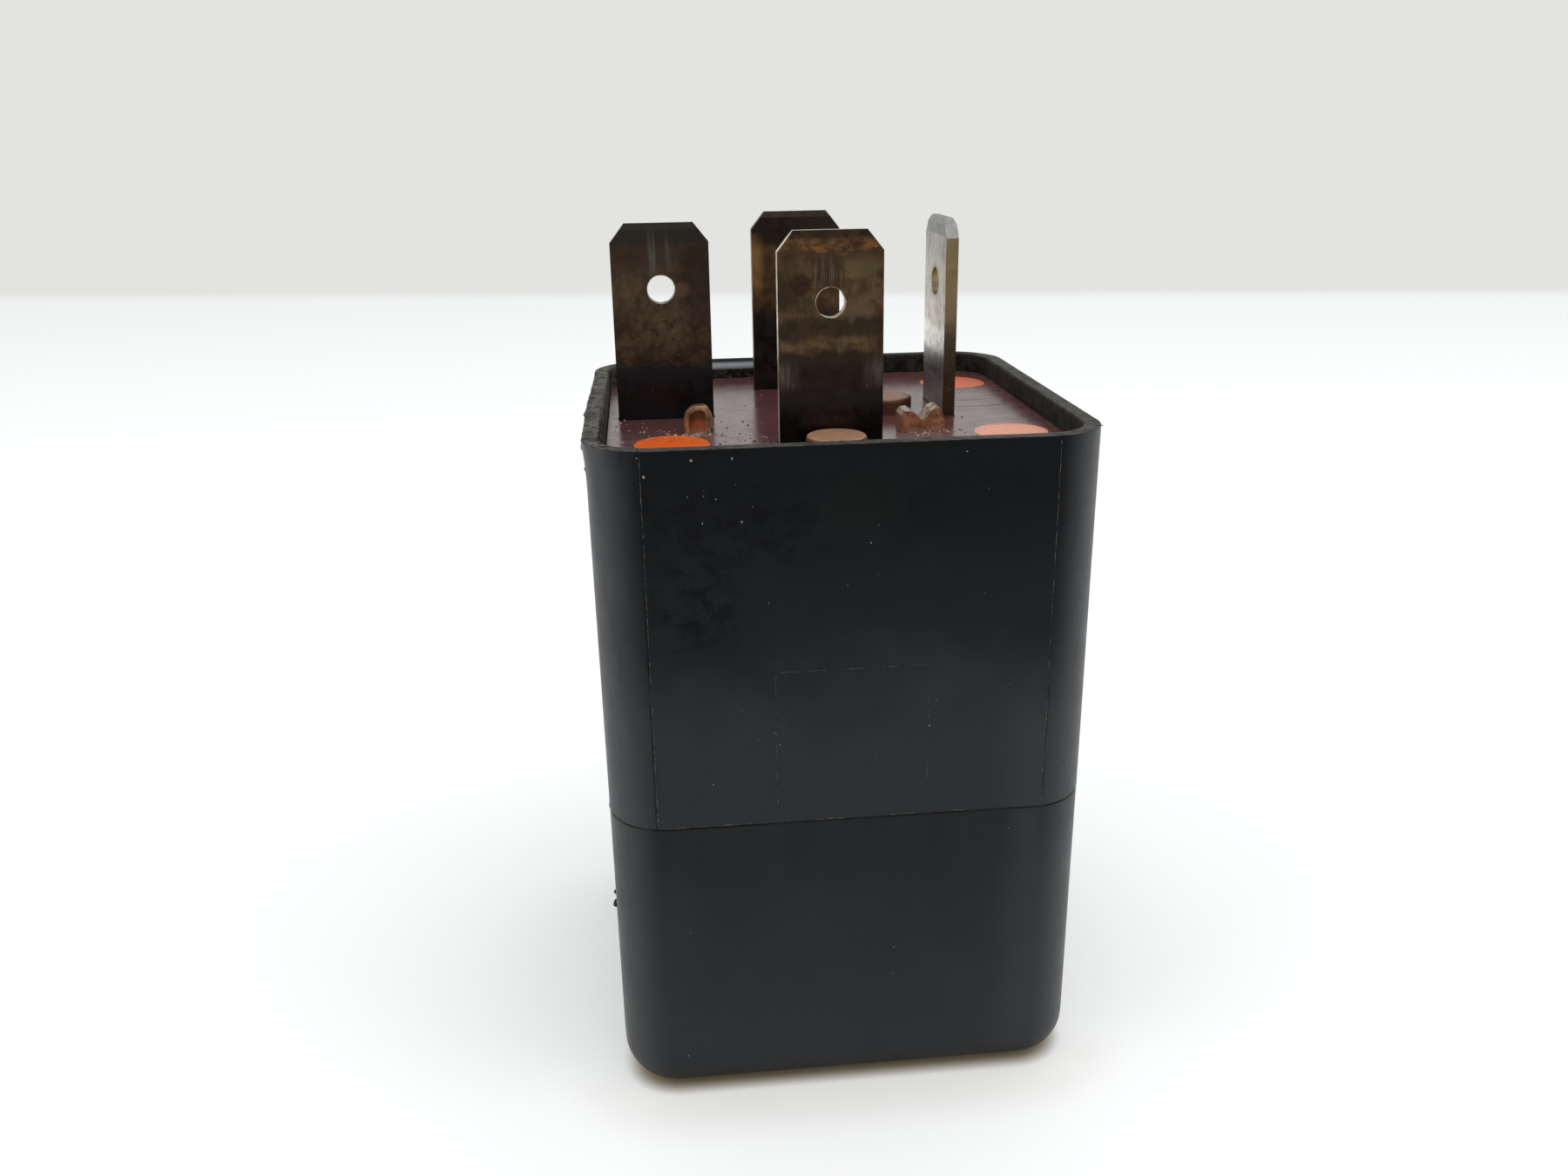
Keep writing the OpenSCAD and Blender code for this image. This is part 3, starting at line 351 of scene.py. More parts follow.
def phenolic():
    """Glossy maroon board with crumbs by its edges, blade roots and tongues."""
    m = Mat("maroon_board", shine=0.62)
    shade = m.noise(0.5, 4, 0.6)
    m.paint = m.mix(shade, (0.078, 0.026, 0.026), (0.112, 0.045, 0.043))
    dust = m.spots(0.5, 0.72, 3.2, 4, 0.75)
    edge = m.most(m.map(m.abs(m.x), 13, 14.2), m.map(m.abs(m.y), 13, 14.1))
    roots = m.most(m.blob(m.x, m.y, (-7.6, -6.3), (2.4, 1.4)),
                   m.blob(m.x, m.y, (6.4, -7.4), (2.8, 1.5)),
                   m.blob(m.x, m.y, (-0.5, -12), (5, 1.8)))
    dusty = m.times(dust, m.most(m.times(edge, 0.6), roots))
    m.lay((0.27, 0.19, 0.15), dusty, 0.6)
    m.lay((0.42, 0.35, 0.28), m.most(m.times(m.specks(2.4, 0.045, 0.7), roots),
                                     m.specks(1.1, 0.035, 0.16, (5, 1, 2))), 0.8)
    m.lay((0.01, 0.008, 0.008), m.specks(0.8, 0.05, 0.14, (1, 6, 3)), 0.85)
    # A few long scuffs beside the right blade: place, half width, left and right end, softness
    y = m.sway(m.y, m.noise(0.28, 2, 0.5), 1.6)
    scuff = m.most(*(m.times(m.line(y, at, half), m.band(m.x, left, right, soft))
                     for at, half, left, right, soft in (
                         (0.4, 0.09, 9.4, 13.2, 0.6), (2.6, 0.08, 8.9, 12.4, 0.6),
                         (-0.9, 0.05, 10.2, 12.2, 0.5))))
    m.lay((0.03, 0.012, 0.012), scuff, 0.55)
    # Paler grey-mauve patches on the glossy board: a painted reflection
    painted_reflection_patches = m.most(m.blob(m.x, m.y, (-11, -9.4), (2.6, 3.6), soft=0.9),
                  m.blob(m.x, m.y, (4.6, -10), (3.4, 3), soft=0.9))
    m.lay((0.22, 0.18, 0.17), painted_reflection_patches, m.map(shade, 0.3, 0.7, 0.25, 0.5))
    rough = m.add(m.vary(0.17, 0.26, 0.8), m.times(m.most(dusty, scuff), 0.3))
    return m.finish(rough, (m.noise(0.3, 2, 0.5), 0.006), (m.noise(5, 2), 0.0006), (scuff, 0.01))


def former_plastic():
    """Orange plastic, paler at the front right stud as a painted highlight, and browner at the back
    right one.
    """
    m = Mat("orange_former", shine=0.4)
    shade = m.noise(0.9)
    right = m.map(m.x, 6, 9)
    m.paint = m.mix(shade, (0.62, 0.085, 0.008), (0.74, 0.13, 0.016))
    # The front right stud paler and pinker: a painted highlight
    m.lay((0.72, 0.33, 0.22), right, m.map(m.y, -5, -6.2), 0.85)
    m.lay((0.36, 0.13, 0.06), right, m.map(m.y, 5, 7), m.map(shade, 0.3, 0.6), 0.6)
    m.lay((0.28, 0.07, 0.03), m.most(m.specks(1.5, 0.05, 0.3), m.specks(3, 0.03, 0.3, (3, 2, 1))),
          0.5)
    return m.finish(m.vary(0.3, 0.48, 1.5), (m.noise(1.1), 0.02), (m.noise(6, 2), 0.002))


class Blade(Mat):
    """A bronze strip facing the front: u runs across it, t down from its tip, wavy with t."""

    def __init__(self, name, centre_x, mids, lows):
        super().__init__(name)
        self.u = self.sub(self.x, centre_x)
        self.t = self.sub(TIP, self.z)
        self.warp = self.noise(0.7, 4, 0.6, distort=0.4)
        self.wavy = self.sway(self.t, self.warp, 1.1)
        self.streak = self.noise(1, 3, 0.62, stretch=(6.5, 6.5, 0.22))
        self.hair = self.spots(0.58, 0.7, 1, 2, 0.7, stretch=(15, 15, 0.45), shift=(5, 5, 2))
        self.patch = self.noise(0.5, 4, 0.62, shift=(4, 2, 8), stretch=(1.2, 1.2, 1))
        self.paint = self.mix(self.map(self.patch, 0.36, 0.66), tone(*lows), tone(*mids))
        fine = self.noise(3.4, stretch=(1, 1, 0.5), shift=(9, 1, 2))
        self.coat((v * 0.72 for v in lows), self.map(fine, 0.45, 0.75, 0, 0.35))

    def coat(self, colour, *shares):
        self.lay(tone(*colour), *shares)

    def across(self, low, high, soft):
        return self.band(self.wavy, low, high, soft)

    def stain(self, centre, size, share, colour):
        self.coat(colour, self.blob(self.u, self.t, centre, size, self.warp), share)

    def beyond(self, start, full, share, colour):
        """A colour that fades in from start to full, both counted down from the tip."""
        self.coat(colour, self.map(self.wavy, start, full), share)

    def end(self, dusty, cut_colour, cut_share, tongue=None):
        """Cut edges by the way they face, dust specks, the copper-brown tongue and gloss."""
        _, ny, _ = self.normal()
        self.coat(cut_colour, self.map(self.abs(ny), 0.75, 0.45),
                  self.map(self.noise(1.3), 0.3, 0.55, 0.6, 1), cut_share)
        white = self.most(self.specks(1.7, 0.04, 0.42, (2, 9, 4)),
                          self.specks(3.1, 0.022, 0.3, (1, 1, 7)))
        self.coat((150, 138, 122), white, dusty, 0.75)
        metal = 1
        if tongue is not None:
            here, hollow = tongue
            self.lay(self.tongue_copper(hollow), here)
            metal = self.sub(1, self.times(here, 0.75))
        self.set_all(Metallic=metal)
        return self.finish(self.vary(0.26, 0.42, 1.2, shift=(1, 1, 1)), (self.streak, 0.004),
                           (self.noise(0.8), 0.012), (self.noise(7, 2), 0.0015))

    def tongue_copper(self, hollow):
        worn = self.add(self.z, self.times(self.noise(1.7), 1.2))
        rim = self.mix(self.spots(0.36, 0.62, 2.4), (0.13, 0.065, 0.035), (0.34, 0.19, 0.1))
        rim = self.mix(self.map(worn, BOARD_TOP + 1.9, BOARD_TOP + 2.3), rim, (0.66, 0.46, 0.27))
        dark = self.map(self.add(self.z, self.noise(2)), BOARD_TOP + 0.9, BOARD_TOP + 1.5)
        inner = self.mix(dark, (0.46, 0.13, 0.045), (0.17, 0.07, 0.03))
        foot = self.map(self.add(self.z, self.noise(3, 2)), BOARD_TOP + 0.9, BOARD_TOP + 0.4)
        return self.mix(self.times(foot, 0.5), self.mix(hollow, rim, inner), (0.5, 0.36, 0.28))


def front_blade():
    m = Blade("bronze_front_blade", ROW_X, (76, 60, 43), (47, 36, 27))
    wide = m.abs(m.u)
    m.coat((50, 34, 26), m.spots(0.5, 0.62, 0.85, 4, 0.65, shift=(1, 8, 4), distort=0.5), 0.6)
    m.coat((112, 100, 84), m.hair, m.map(m.t, 8.5, 7), 0.28)
    # Above the hole: a scraped middle, and stains
    scrape = m.times(m.map(m.streak, 0.46, 0.62), m.map(wide, 1.3, 0.5), m.across(0.5, 3.3, 0.4))
    m.coat((112, 102, 88), scrape, m.map(m.hair, 0, 1, 0.35, 1), 0.5)
    m.stain((1.85, 2), (1, 0.7), 0.55, (84, 71, 49))
    m.stain((-1.75, 3), (0.62, 0.6), 0.8, (36, 24, 20))
    m.stain((-2.4, 1.6), (0.6, 1.3), 0.5, (42, 34, 26))
    m.stain((1.2, 4.6), (1.2, 0.8), 0.5, (84, 70, 52))
    # Below it: bands across, down to a dark root with brushed sides
    m.coat((35, 29, 22), m.across(5, 6.3, 0.3), m.map(m.patch, 0.4, 0.5), 0.85)
    broken = m.spots(0.4, 0.58, 1.5, 4, 0.65, stretch=(0.6, 1, 1.6), shift=(0, 3, 0))
    m.coat((84, 68, 44), m.across(6.3, 7, 0.4), m.map(wide, 2.9, 1.6), broken, 0.7)
    m.coat((30, 24, 20), m.across(7.1, 8.6, 0.25), m.map(m.patch, 0.34, 0.48), 0.85)
    m.beyond(7.5, 8.4, 0.9, (29, 24, 22))
    sides = m.times(m.band(m.t, 7.7, 9, 0.6), m.map(wide, 1.6, 2.8),
                    m.map(m.streak, 0.3, 0.6, 0.3, 1))
    m.coat((66, 60, 54), sides, 0.75)
    m.coat((118, 110, 98), sides, m.hair, 0.7)
    m.beyond(9.2, 9.9, 0.8, (37, 33, 34))
    m.coat((50, 38, 36), m.across(10.4, 11.9, 0.4), m.map(wide, 2.2, 0.8), 0.55)
    # The tip: dark, with a mottled ochre stain
    blotch = m.noise(1.5, 5, 0.66, stretch=(0.8, 1, 1.5), shift=(0, 0, 3), distort=0.4)
    m.beyond(2, 1.1, 0.75, (52, 39, 28))
    stain = m.times(m.across(0.55, 1.2, 0.3), m.map(blotch, 0.42, 0.62))
    m.coat((104, 70, 42), stain, 0.8)
    m.coat((40, 28, 21), m.across(0.1, 1.2, 0.2), m.map(blotch, 0.42, 0.34), 0.7)
    m.coat((176, 138, 88), stain, m.specks(3, 0.09, 0.3), 0.6)
    m.coat((34, 27, 22), m.map(m.t, 0.5, 0.36), m.map(blotch, 0.3, 0.6, 0.95, 0.6))
    return m.end(m.map(m.t, 6.8, 8.5), (206, 190, 164), 0.85)


def left_blade():
    m = Blade("bronze_left_blade", LEFT_X, (68, 54, 40), (48, 38, 30))
    m.coat((104, 94, 82), m.hair, m.map(m.t, 9, 7), 0.16)
    m.beyond(3.3, 2.3, 0.75, (45, 36, 30))
    m.beyond(1.7, 1.1, 0.85, (37, 35, 32))
    m.stain((2.3, 3.4), (1.3, 2.2), 0.8, (38, 28, 23))
    m.stain((1.25, 4.2), (0.5, 0.5), 0.5, (78, 62, 48))
    for centre, wide, share in ((-0.5, 0.34, 0.3), (0.55, 0.28, 0.2)):
        m.coat((112, 110, 106), m.map(m.abs(m.sub(m.u, centre)), wide, 0.03),
              m.map(m.streak, 0.36, 0.64), m.across(0.9, 2.9, 0.9), share)
    mottle = m.noise(1.3, 5, 0.65, shift=(6, 1, 1), distort=0.3)
    m.coat((44, 28, 24), m.across(5.6, 9.2, 0.8), m.map(mottle, 0.5, 0.6), 0.7)
    m.coat((82, 62, 44), m.across(6.2, 8.8, 0.6), m.map(mottle, 0.44, 0.36), 0.5)
    m.coat((36, 34, 36), m.map(m.sway(m.wavy, mottle, 1.6), 8.7, 9.3), 0.95)
    tongue = (m.under(m.y, LEFT_TONGUE_Y + TONGUE_T), m.over(m.y, LEFT_TONGUE_Y + 0.12))
    return m.end(m.map(m.t, 7.5, 9.5), (58, 48, 38), 0.7, tongue)


def back_blade():
    m = Blade("bronze_back_blade", ROW_X, (96, 72, 50), (66, 50, 40))
    m.beyond(2.8, 1.9, 0.9, (38, 34, 30))
    m.coat((150, 112, 70), m.map(m.u, -2.1, -2.9), m.across(2, 5.4, 0.6), 0.8)
    m.beyond(6, 7.6, 0.95, (52, 46, 43))
    tongue = (m.over(m.y, BACK_TONGUE_Y - TONGUE_T), m.under(m.y, BACK_TONGUE_Y - 0.12))
    return m.end(m.map(m.t, 6.5, 8.5), (84, 66, 42), 0.7, tongue)


def tinned_metal():
    """The right blade: tinned edges towards the front, bronze faces with a rubbed hole."""
    m = Mat("tinned_blade", Metallic=1)
    nx, _, _ = m.normal()
    t = m.sub(TIP, m.z)
    along = m.sub(m.y, RIGHT_Y)
    streak = m.noise(1, 3, 0.65, stretch=(8, 8, 0.3))
    warp = m.noise(0.8, 4, 0.6, distort=0.5)
    wavy = m.sway(t, warp, 1.2)
    grain = m.noise(2.2, 5, 0.7, stretch=(1, 1, 0.7), shift=(0, 2, 5))
    # Bronze, darker downwards, with a dull tip and the hole's wall painted bright, a painted light
    # in its shade
    m.paint = m.mix(m.noise(1.1), tone(84, 70, 50), tone(118, 103, 78))
    m.lay(tone(52, 41, 34), m.map(wavy, 5.5, 8), 0.85)
    m.lay(m.mix(grain, (0.1, 0.1, 0.1), (0.27, 0.265, 0.26)), m.map(t, 1.3, 1.1))
    # Painted light on the hole's shaded inner wall
    m.lay((0.5, 0.42, 0.26), m.map(m.hypot(along, m.sub(t, HOLE_DROP)), 1.2, 1))
    bronze = m.paint
    # Tin, layer over layer from the tip down
    m.paint = m.mix(m.map(streak, 0.35, 0.7), (0.34, 0.325, 0.295), (0.62, 0.6, 0.54))
    m.lay((0.24, 0.22, 0.18), m.map(warp, 0.5, 0.66), 0.5)
    m.lay((0.86, 0.79, 0.64), m.band(wavy, 2.8, 7.6, 0.9), m.map(streak, 0.3, 0.6, 0.35, 1), 0.6)
    m.lay((0.98, 0.95, 0.88), m.band(wavy, 7, 8.7, 0.3), m.map(warp, 0.3, 0.44), 0.95)
    m.lay(m.mix(m.map(grain, 0.35, 0.65), (0.12, 0.118, 0.115), (0.34, 0.33, 0.31)),
          m.map(wavy, 8.7, 9.6), 0.75)
    m.lay((0.1, 0.085, 0.075), m.map(wavy, 10.2, 11.8), 0.6)
    m.lay((0.2, 0.155, 0.08), m.blob(along, t, (0, 4.2), (1.2, 1), warp), 0.65)
    m.lay(m.mix(grain, (0.14, 0.14, 0.14), (0.36, 0.36, 0.355)), m.map(t, 1.2, 1), 0.9)
    m.lay(bronze, m.map(m.abs(nx), 0.75, 0.45))
    m.lay((0.4, 0.37, 0.33), m.specks(2, 0.045, 0.5, (2, 9, 4)), m.map(t, 7.5, 9), 0.6)
    return m.finish(m.vary(0.3, 0.44, 2), (streak, 0.006), (m.noise(0.9), 0.015))


def rivet_metal():
    """Coppery rivet heads, brighter at the front by a painted reflection, dark round their sides.
    """
    m = Mat("copper_rivet", Metallic=0.35, shine=0.4)
    _, _, nz = m.normal("Normal")
    patchy = m.noise(1.6, 4, 0.65)
    top = m.mix(patchy, (0.2, 0.105, 0.062), (0.31, 0.175, 0.105))
    # The front rivet's top paler: a painted reflection
    bright = m.mix(patchy, (0.34, 0.18, 0.1), (0.52, 0.3, 0.17))
    m.paint = m.mix(m.noise(1.5), (0.055, 0.018, 0.009), (0.13, 0.05, 0.026))
    m.lay(m.mix(m.map(m.y, -6, -8), top, bright), m.map(nz, 0.5, 0.9))
    m.lay((0.1, 0.05, 0.035), m.specks(2.5, 0.05, 0.35), 0.6)
    m.lay((0.5, 0.4, 0.3), m.specks(3.4, 0.03, 0.3, (4, 4, 4)), 0.7)
    return m.finish(m.vary(0.42, 0.6, 3), (m.noise(5), 0.006), (m.noise(1.2, 2, 0.5), 0.02))


def copper_flash():
    """The yoke: plain steel inside, copper-stained where it stands out of the board, brassy on its
    upward faces by painted glints.
    """
    m = Mat("copper_flashed_steel", shine=0.5)
    _, _, nz = m.normal()
    seen = m.map(m.z, BOARD_TOP - 0.2, BOARD_TOP)
    m.paint = m.mix(m.spots(0.35, 0.65, 1.6, 4, 0.65), (0.2, 0.065, 0.03), (0.46, 0.2, 0.11))
    # Brassy on the upward faces above the board: painted glints
    m.lay(m.mix(m.spots(0.38, 0.62, 2.6, 4, 0.65), (0.13, 0.1, 0.06), (0.48, 0.37, 0.24)),
          m.map(nz, 0.15, 0.6), seen)
    foot = m.map(m.add(m.z, m.noise(3, 2)), BOARD_TOP + 0.8, BOARD_TOP + 0.4)
    m.lay((0.45, 0.33, 0.26), foot, seen, 0.45)
    m.lay((0.55, 0.42, 0.3), m.specks(3, 0.05, 0.4), 0.6)
    m.set_all(Metallic=m.sub(1, m.times(seen, 0.6)))
    return m.finish(m.vary(0.32, 0.5, 3), (m.noise(4, 3, 0.65), 0.015), (m.noise(1, 2, 0.5), 0.03))


def plain_metal(name, dark, pale, rough, along=(1, 1, 1)):
    m = Mat(name, Metallic=1)
    grain = m.noise(1.4, stretch=along)
    m.paint = m.mix(grain, dark, pale)
    m.lay(tuple(v * 0.4 for v in dark), m.specks(1.4, 0.05, 0.2), 0.5)
    return m.finish(m.vary(rough - 0.06, rough + 0.1, 1.8), (grain, 0.01), (m.noise(6, 2), 0.003))


def wound_copper():
    m = Mat("enamelled_winding", Metallic=0.75, Coat_Weight=0.6, Coat_Roughness=0.12)
    turns = m.node("TexWave", bands_direction="Z", Vector=m.p, Scale=1.6,
                   Distortion=0.25).outputs[1]
    m.paint = m.mix(turns, (0.22, 0.06, 0.02), (0.7, 0.27, 0.1))
    return m.finish(m.vary(0.22, 0.36, 1, 2, 0.5), (turns, 0.09), (m.noise(0.5, 2, 0.5), 0.05))


def woven_copper():
    m = Mat("woven_braid", Metallic=1)
    strands = []
    for tilt in ((1, 1, 1), (1, 1, -1)):
        strands.append(m.node("TexWave", bands_direction="DIAGONAL",
                              Vector=m.moved(tilt), Scale=1.5).outputs[1])
    weave = m.most(*strands)
    m.paint = m.mix(weave, (0.25, 0.1, 0.05), (0.78, 0.42, 0.25))
    return m.finish(0.4, (weave, 0.08), (m.noise(8, 2), 0.01))


def crumb_material(name, dark, pale):
    m = Mat(name, shine=0.3)
    m.paint = m.mix(m.noise(2.5, 2), dark, pale)
    return m.finish(m.vary(0.6, 0.85, 4, 2, 0.5), (m.noise(12, 2), 0.01))


def spotted(name, spots, dark, pale, gloss, relief, specks=None, **constants):
    """Spots of a pale colour on a dark one, and perhaps specks: a colour, and how they lie."""
    m = Mat(name, **constants)
    m.paint = m.mix(m.spots(*spots), dark, pale)
    if specks:
        m.lay(specks[0], m.specks(*specks[1:]), 0.8)
    return m.finish(m.vary(*gloss, 3, 2, 0.5), (m.noise(relief[0], 2), relief[1]))


def burr_plastic():
    """Burrs on the silhouettes, black like the walls but pale near the rim."""
    m = Mat("burr_plastic", shine=0.25)
    m.paint = (0.016, 0.016, 0.017)
    m.lay((0.16, 0.15, 0.125), m.map(m.z, RIM_TOP - 1.6, RIM_TOP - 0.3),
          m.spots(0.35, 0.65, 2.2, 3, 0.7))
    return m.finish(m.vary(*TORN_GLOSS, 3, 2, 0.5), (m.noise(7), 0.03))


BLACK = black_plastic()
MATERIALS = {
    "base_board": phenolic(),
    "coil_former": former_plastic(),
    "terminal_front": front_blade(),
    "terminal_left": left_blade(),
    "terminal_back": back_blade(),
    "terminal_right": tinned_metal(),
    "rivet_front": rivet_metal(),
    "yoke": copper_flash(),
    "winding": wound_copper(),
    "braid": woven_copper(),
}
MATERIALS.update((node, plain_metal(*row)) for node, row in {
    "core": ("soft_iron", (0.32, 0.32, 0.33), (0.5, 0.5, 0.51), 0.4),
    "armature": ("armature_iron", (0.3, 0.3, 0.32), (0.48, 0.48, 0.5), 0.38, (6, 0.5, 1)),
    "contact_arm": ("arm_bronze", (0.5, 0.3, 0.14), (0.72, 0.48, 0.25), 0.3, (0.5, 7, 1)),
    "fixed_contact": ("contact_silver", (0.66, 0.65, 0.62), (0.84, 0.83, 0.8), 0.24),
    "arm_rivet_left": ("arm_rivet_brass", (0.55, 0.45, 0.28), (0.75, 0.63, 0.42), 0.34),
    "return_spring": ("spring_wire", (0.45, 0.45, 0.47), (0.68, 0.68, 0.7), 0.26),
}.items())
SHARED = {"rivet_right": "rivet_front", "lead_left": "winding", "lead_back": "winding",
          "moving_contact": "fixed_contact", "arm_rivet_right": "arm_rivet_left"}
for node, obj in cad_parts.items():
    if node == "cover":
        continue
    material = MATERIALS[SHARED.get(node, node)]
    if not obj.data.materials:
        obj.data.materials.append(material)
    for slot in obj.material_slots:
        slot.material = material


# ---- new pieces ----
def joined(parts):
    """The points and faces of several meshes as those of one."""
    points, faces = [], []
    for p, f in parts:
        base = len(points)
        points += list(p)
        faces += [tuple(base + i for i in face) for face in f]
    return points, faces


def piece(name, parts, material, angle=35):
    """One mesh of closed parts in millimetres, on the fixed body; sharp beyond this angle."""
    points, faces = joined(parts)
    mesh = bpy.data.meshes.new(name)
    mesh.from_pydata((np.array(points) * MM).tolist(), [], faces)
    bm = bmesh.new()
    bm.from_mesh(mesh)
    bmesh.ops.recalc_face_normals(bm, faces=bm.faces)
    for edge in bm.edges:
        edge.smooth = len(edge.link_faces) == 2 and edge.calc_face_angle(0) < radians(angle)
    for face in bm.faces:
        face.smooth = True
    bm.to_mesh(mesh)
    bm.free()
    mesh.materials.append(material)
    obj = scene_object(name, mesh)
    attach(obj, "body")
    return obj


def waves(count, scale, seed):
    """A smooth seeded function of (a, b), roughly within -1..1."""
    rng = Random(seed)
    terms = [(rng.uniform(-1, 1) * scale, rng.uniform(-1, 1) * scale,
              rng.uniform(0, 6.3), rng.uniform(0.5, 1)) for _ in range(count)]
    total = sum(weight for *_, weight in terms)

    def value(a, b=0):
        return sum(w * sin(i * a + j * b + q) for i, j, q, w in terms) / total * 1.6
    return value


def fade(value, start, end):
    """0 at the start, 1 at the end, straight in between and held beyond them."""
    return np.clip((value - start) / (end - start), 0, 1)


def perimeter(step, corner):
    """Columns round the cover: each one's corner axis or side line, and its outward normal."""
    columns = []
    corners = [np.array(p) for p in ((CX, -CY), (CX, CY), (-CX, CY), (-CX, -CY))]
    for k, normal in enumerate(((1, 0), (0, 1), (-1, 0), (0, -1))):
        a, b = corners[k], corners[(k + 1) % 4]
        n = max(2, round(np.hypot(*(b - a)) / step))
        columns += [(*(a + (b - a) * i / n), *normal) for i in range(1, n)]
        for i in range(corner + 1):
            turn = radians(90 * k + 90 * i / corner)
            columns.append((*b, cos(turn), sin(turn)))
    return np.array(columns)


def ring_faces(rings, section):
    """The faces of a closed ring, whose sections have this many points each."""
    return [tuple(a % rings * section + b % section
                  for a, b in ((i, j), (i + 1, j), (i + 1, j + 1), (i, j + 1)))
            for i in range(rings) for j in range(section)]


def outer_inset(z):
    """How far the outer wall stands inside its own place at the rim, at height z."""
    inset = TAPER * (RIM_TOP - z) / RIM_TOP
    if z < PARTING:
        inset += STEP
    if z < FOOT_R:
        inset += FOOT_R - sqrt(max(0, FOOT_R ** 2 - (FOOT_R - z) ** 2))
    return inset


def skin(z):
    """How far the drawn wall stands outside the plain one: worn wider below the parting line."""
    return (0.05 + 0.07 * (z < PARTING)) * min(1, max(0, z / 3))


def wall_point(ax, ay, nx, ny, z, extra=0):
    """A point on the drawn wall, or a little outside it, in this column at height z."""
    r = CORNER_R - outer_inset(z) + skin(z) + extra
    return np.array([ax + nx * r, ay + ny * r, z])


def cover_levels():
    """The wall's profile from the foot up and down inside: height, inset and kind of surface."""
    levels = []
    for k in range(13):
        z = FOOT_R * (1 - cos(radians(90 * k / 12)))
        levels.append((z, outer_inset(min(z, FOOT_R - 1e-6)), "outer"))
    levels += [(z, outer_inset(z), "outer") for z in np.linspace(FOOT_R + 0.8, PARTING - 0.5, 16)]
    # The step at the parting line, with a fine raised line on it
    above = TAPER * (RIM_TOP - PARTING) / RIM_TOP
    levels += [(PARTING + dz, above + inset, kind) for dz, inset, kind in (
        (-0.14, STEP, "outer"), (-0.05, STEP + 0.03, "line"), (0, 0.03, "line"),
        (0.06, -0.01, "line"), (0.16, 0, "outer"))]
    levels += [(z, outer_inset(z), "outer") for z in np.linspace(PARTING + 0.8, RIM_TOP - 0.5, 26)]
    # Round the rim's lip, over its land, down its fillet and inner wall to below the board
    levels += [(RIM_TOP - dz, inset, kind) for dz, inset, kind in (
        (0.09, 0.002, "lip"), (0.04, 0.012, "lip"), (0.012, 0.04, "lip"), (0, 0.09, "lip"),
        (LAND_DROP, 0.24, "land"), (LAND_DROP, 0.34, "land"))]
    levels += [(k / 6, 0, "fillet") for k in range(7)]
    levels += [(z, RIM_WALL, "inner") for z in (
        RIM_TOP - 0.85, RIM_TOP - 1.1, BOARD_TOP - 0.1, BOARD_TOP - 0.8, BOARD_FOOT + 0.02)]
    # The cavity, which tapers too, with a rounding down to its floor
    cavity = BOARD_FOOT - FLOOR_T
    levels += [(z, LOWER_WALL + TAPER * (BOARD_FOOT - z) / cavity, "hidden")
               for z in (BOARD_FOOT, 30, 20, 10, FLOOR_T + 1.2)]
    levels += [(FLOOR_T + dz, LOWER_WALL + TAPER + inset, "hidden")
               for dz, inset in ((0.45, 0.16), (0.12, 0.5), (0, 1))]
    return levels


def build_cover():
    columns = perimeter(0.34, 30)
    count = len(columns)
    levels = cover_levels()
    wave = waves(9, 0.28, 3)
    burr = waves(16, 4.6, 5)
    nick = waves(12, 2.1, 9)
    ripple = waves(10, 1.1, 8)
    places = columns[:, :2] + columns[:, 2:] * CORNER_R
    x, y = places.T
    steps = np.hypot(*(places[1:] - places[:-1]).T)
    along = np.concatenate([[0], np.cumsum(steps)])
    # The rim's west side is ragged and bowed out; the back rim's inner edge is worn round
    ragged = 0.15 + 1.5 * fade(-x, 13.4, 14.6) * fade(y, 8, 2)
    worn = fade(y, 13, 14.2) * fade(x, 3, 0)
    bowed = 0.85 * fade(-x, 13, 15) * fade(y, 8, -1)
    bow_depth = 3
    points = []
    for z, inset, kind in levels:
        for (ax, ay, nx, ny), s, rag, wear, bow in zip(columns, along, ragged, worn, bowed):
            e, zz = inset, z
            if kind == "fillet":
                size = 0.2 + 0.45 * wear + 0.3 * bow
                a = radians(90 * z)
                e = RIM_WALL - size + size * sin(a) + 0.02 * nick(s, 3) * (1 - z)
                zz = RIM_TOP - LAND_DROP - size * (1 - cos(a))
            if kind in ("outer", "line", "lip") and z > 0.3:
                e += 0.015 * wave(s, z) - skin(z)
            if kind in ("outer", "lip", "land") and z > RIM_TOP - bow_depth:
                e -= 0.24 * bow * (1 - (RIM_TOP - z) / bow_depth) ** 2
            if kind == "line":
                e += 0.012 * burr(s, z)
            if kind == "lip":
                e += 0.022 * rag * (0.6 + burr(s, z * 3))
                lowered = max(0, burr(s * 0.7)) * (z - RIM_TOP + 0.1) / 0.1
                zz -= 0.02 * rag * lowered
            if kind == "land":
                zz -= 0.016 * rag * (1 + nick(s, e * 9))
            if kind == "inner" and z > BOARD_TOP:
                e += 0.012 * ripple(s, z)
            r = CORNER_R - e
            points.append((ax + nx * r, ay + ny * r, min(zz, RIM_TOP)))
    faces = []
    for k in range(0, len(points) - count, count):
        for i in range(count):
            j = (i + 1) % count
            faces.append((k + i, k + j, k + count + j, k + count + i))
    faces.append(tuple(range(count - 1, -1, -1)))
    faces.append(tuple(range(len(points) - count, len(points))))
    obj = piece("cover_shell", [(points, faces)], BLACK, 30)
    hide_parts("cover")


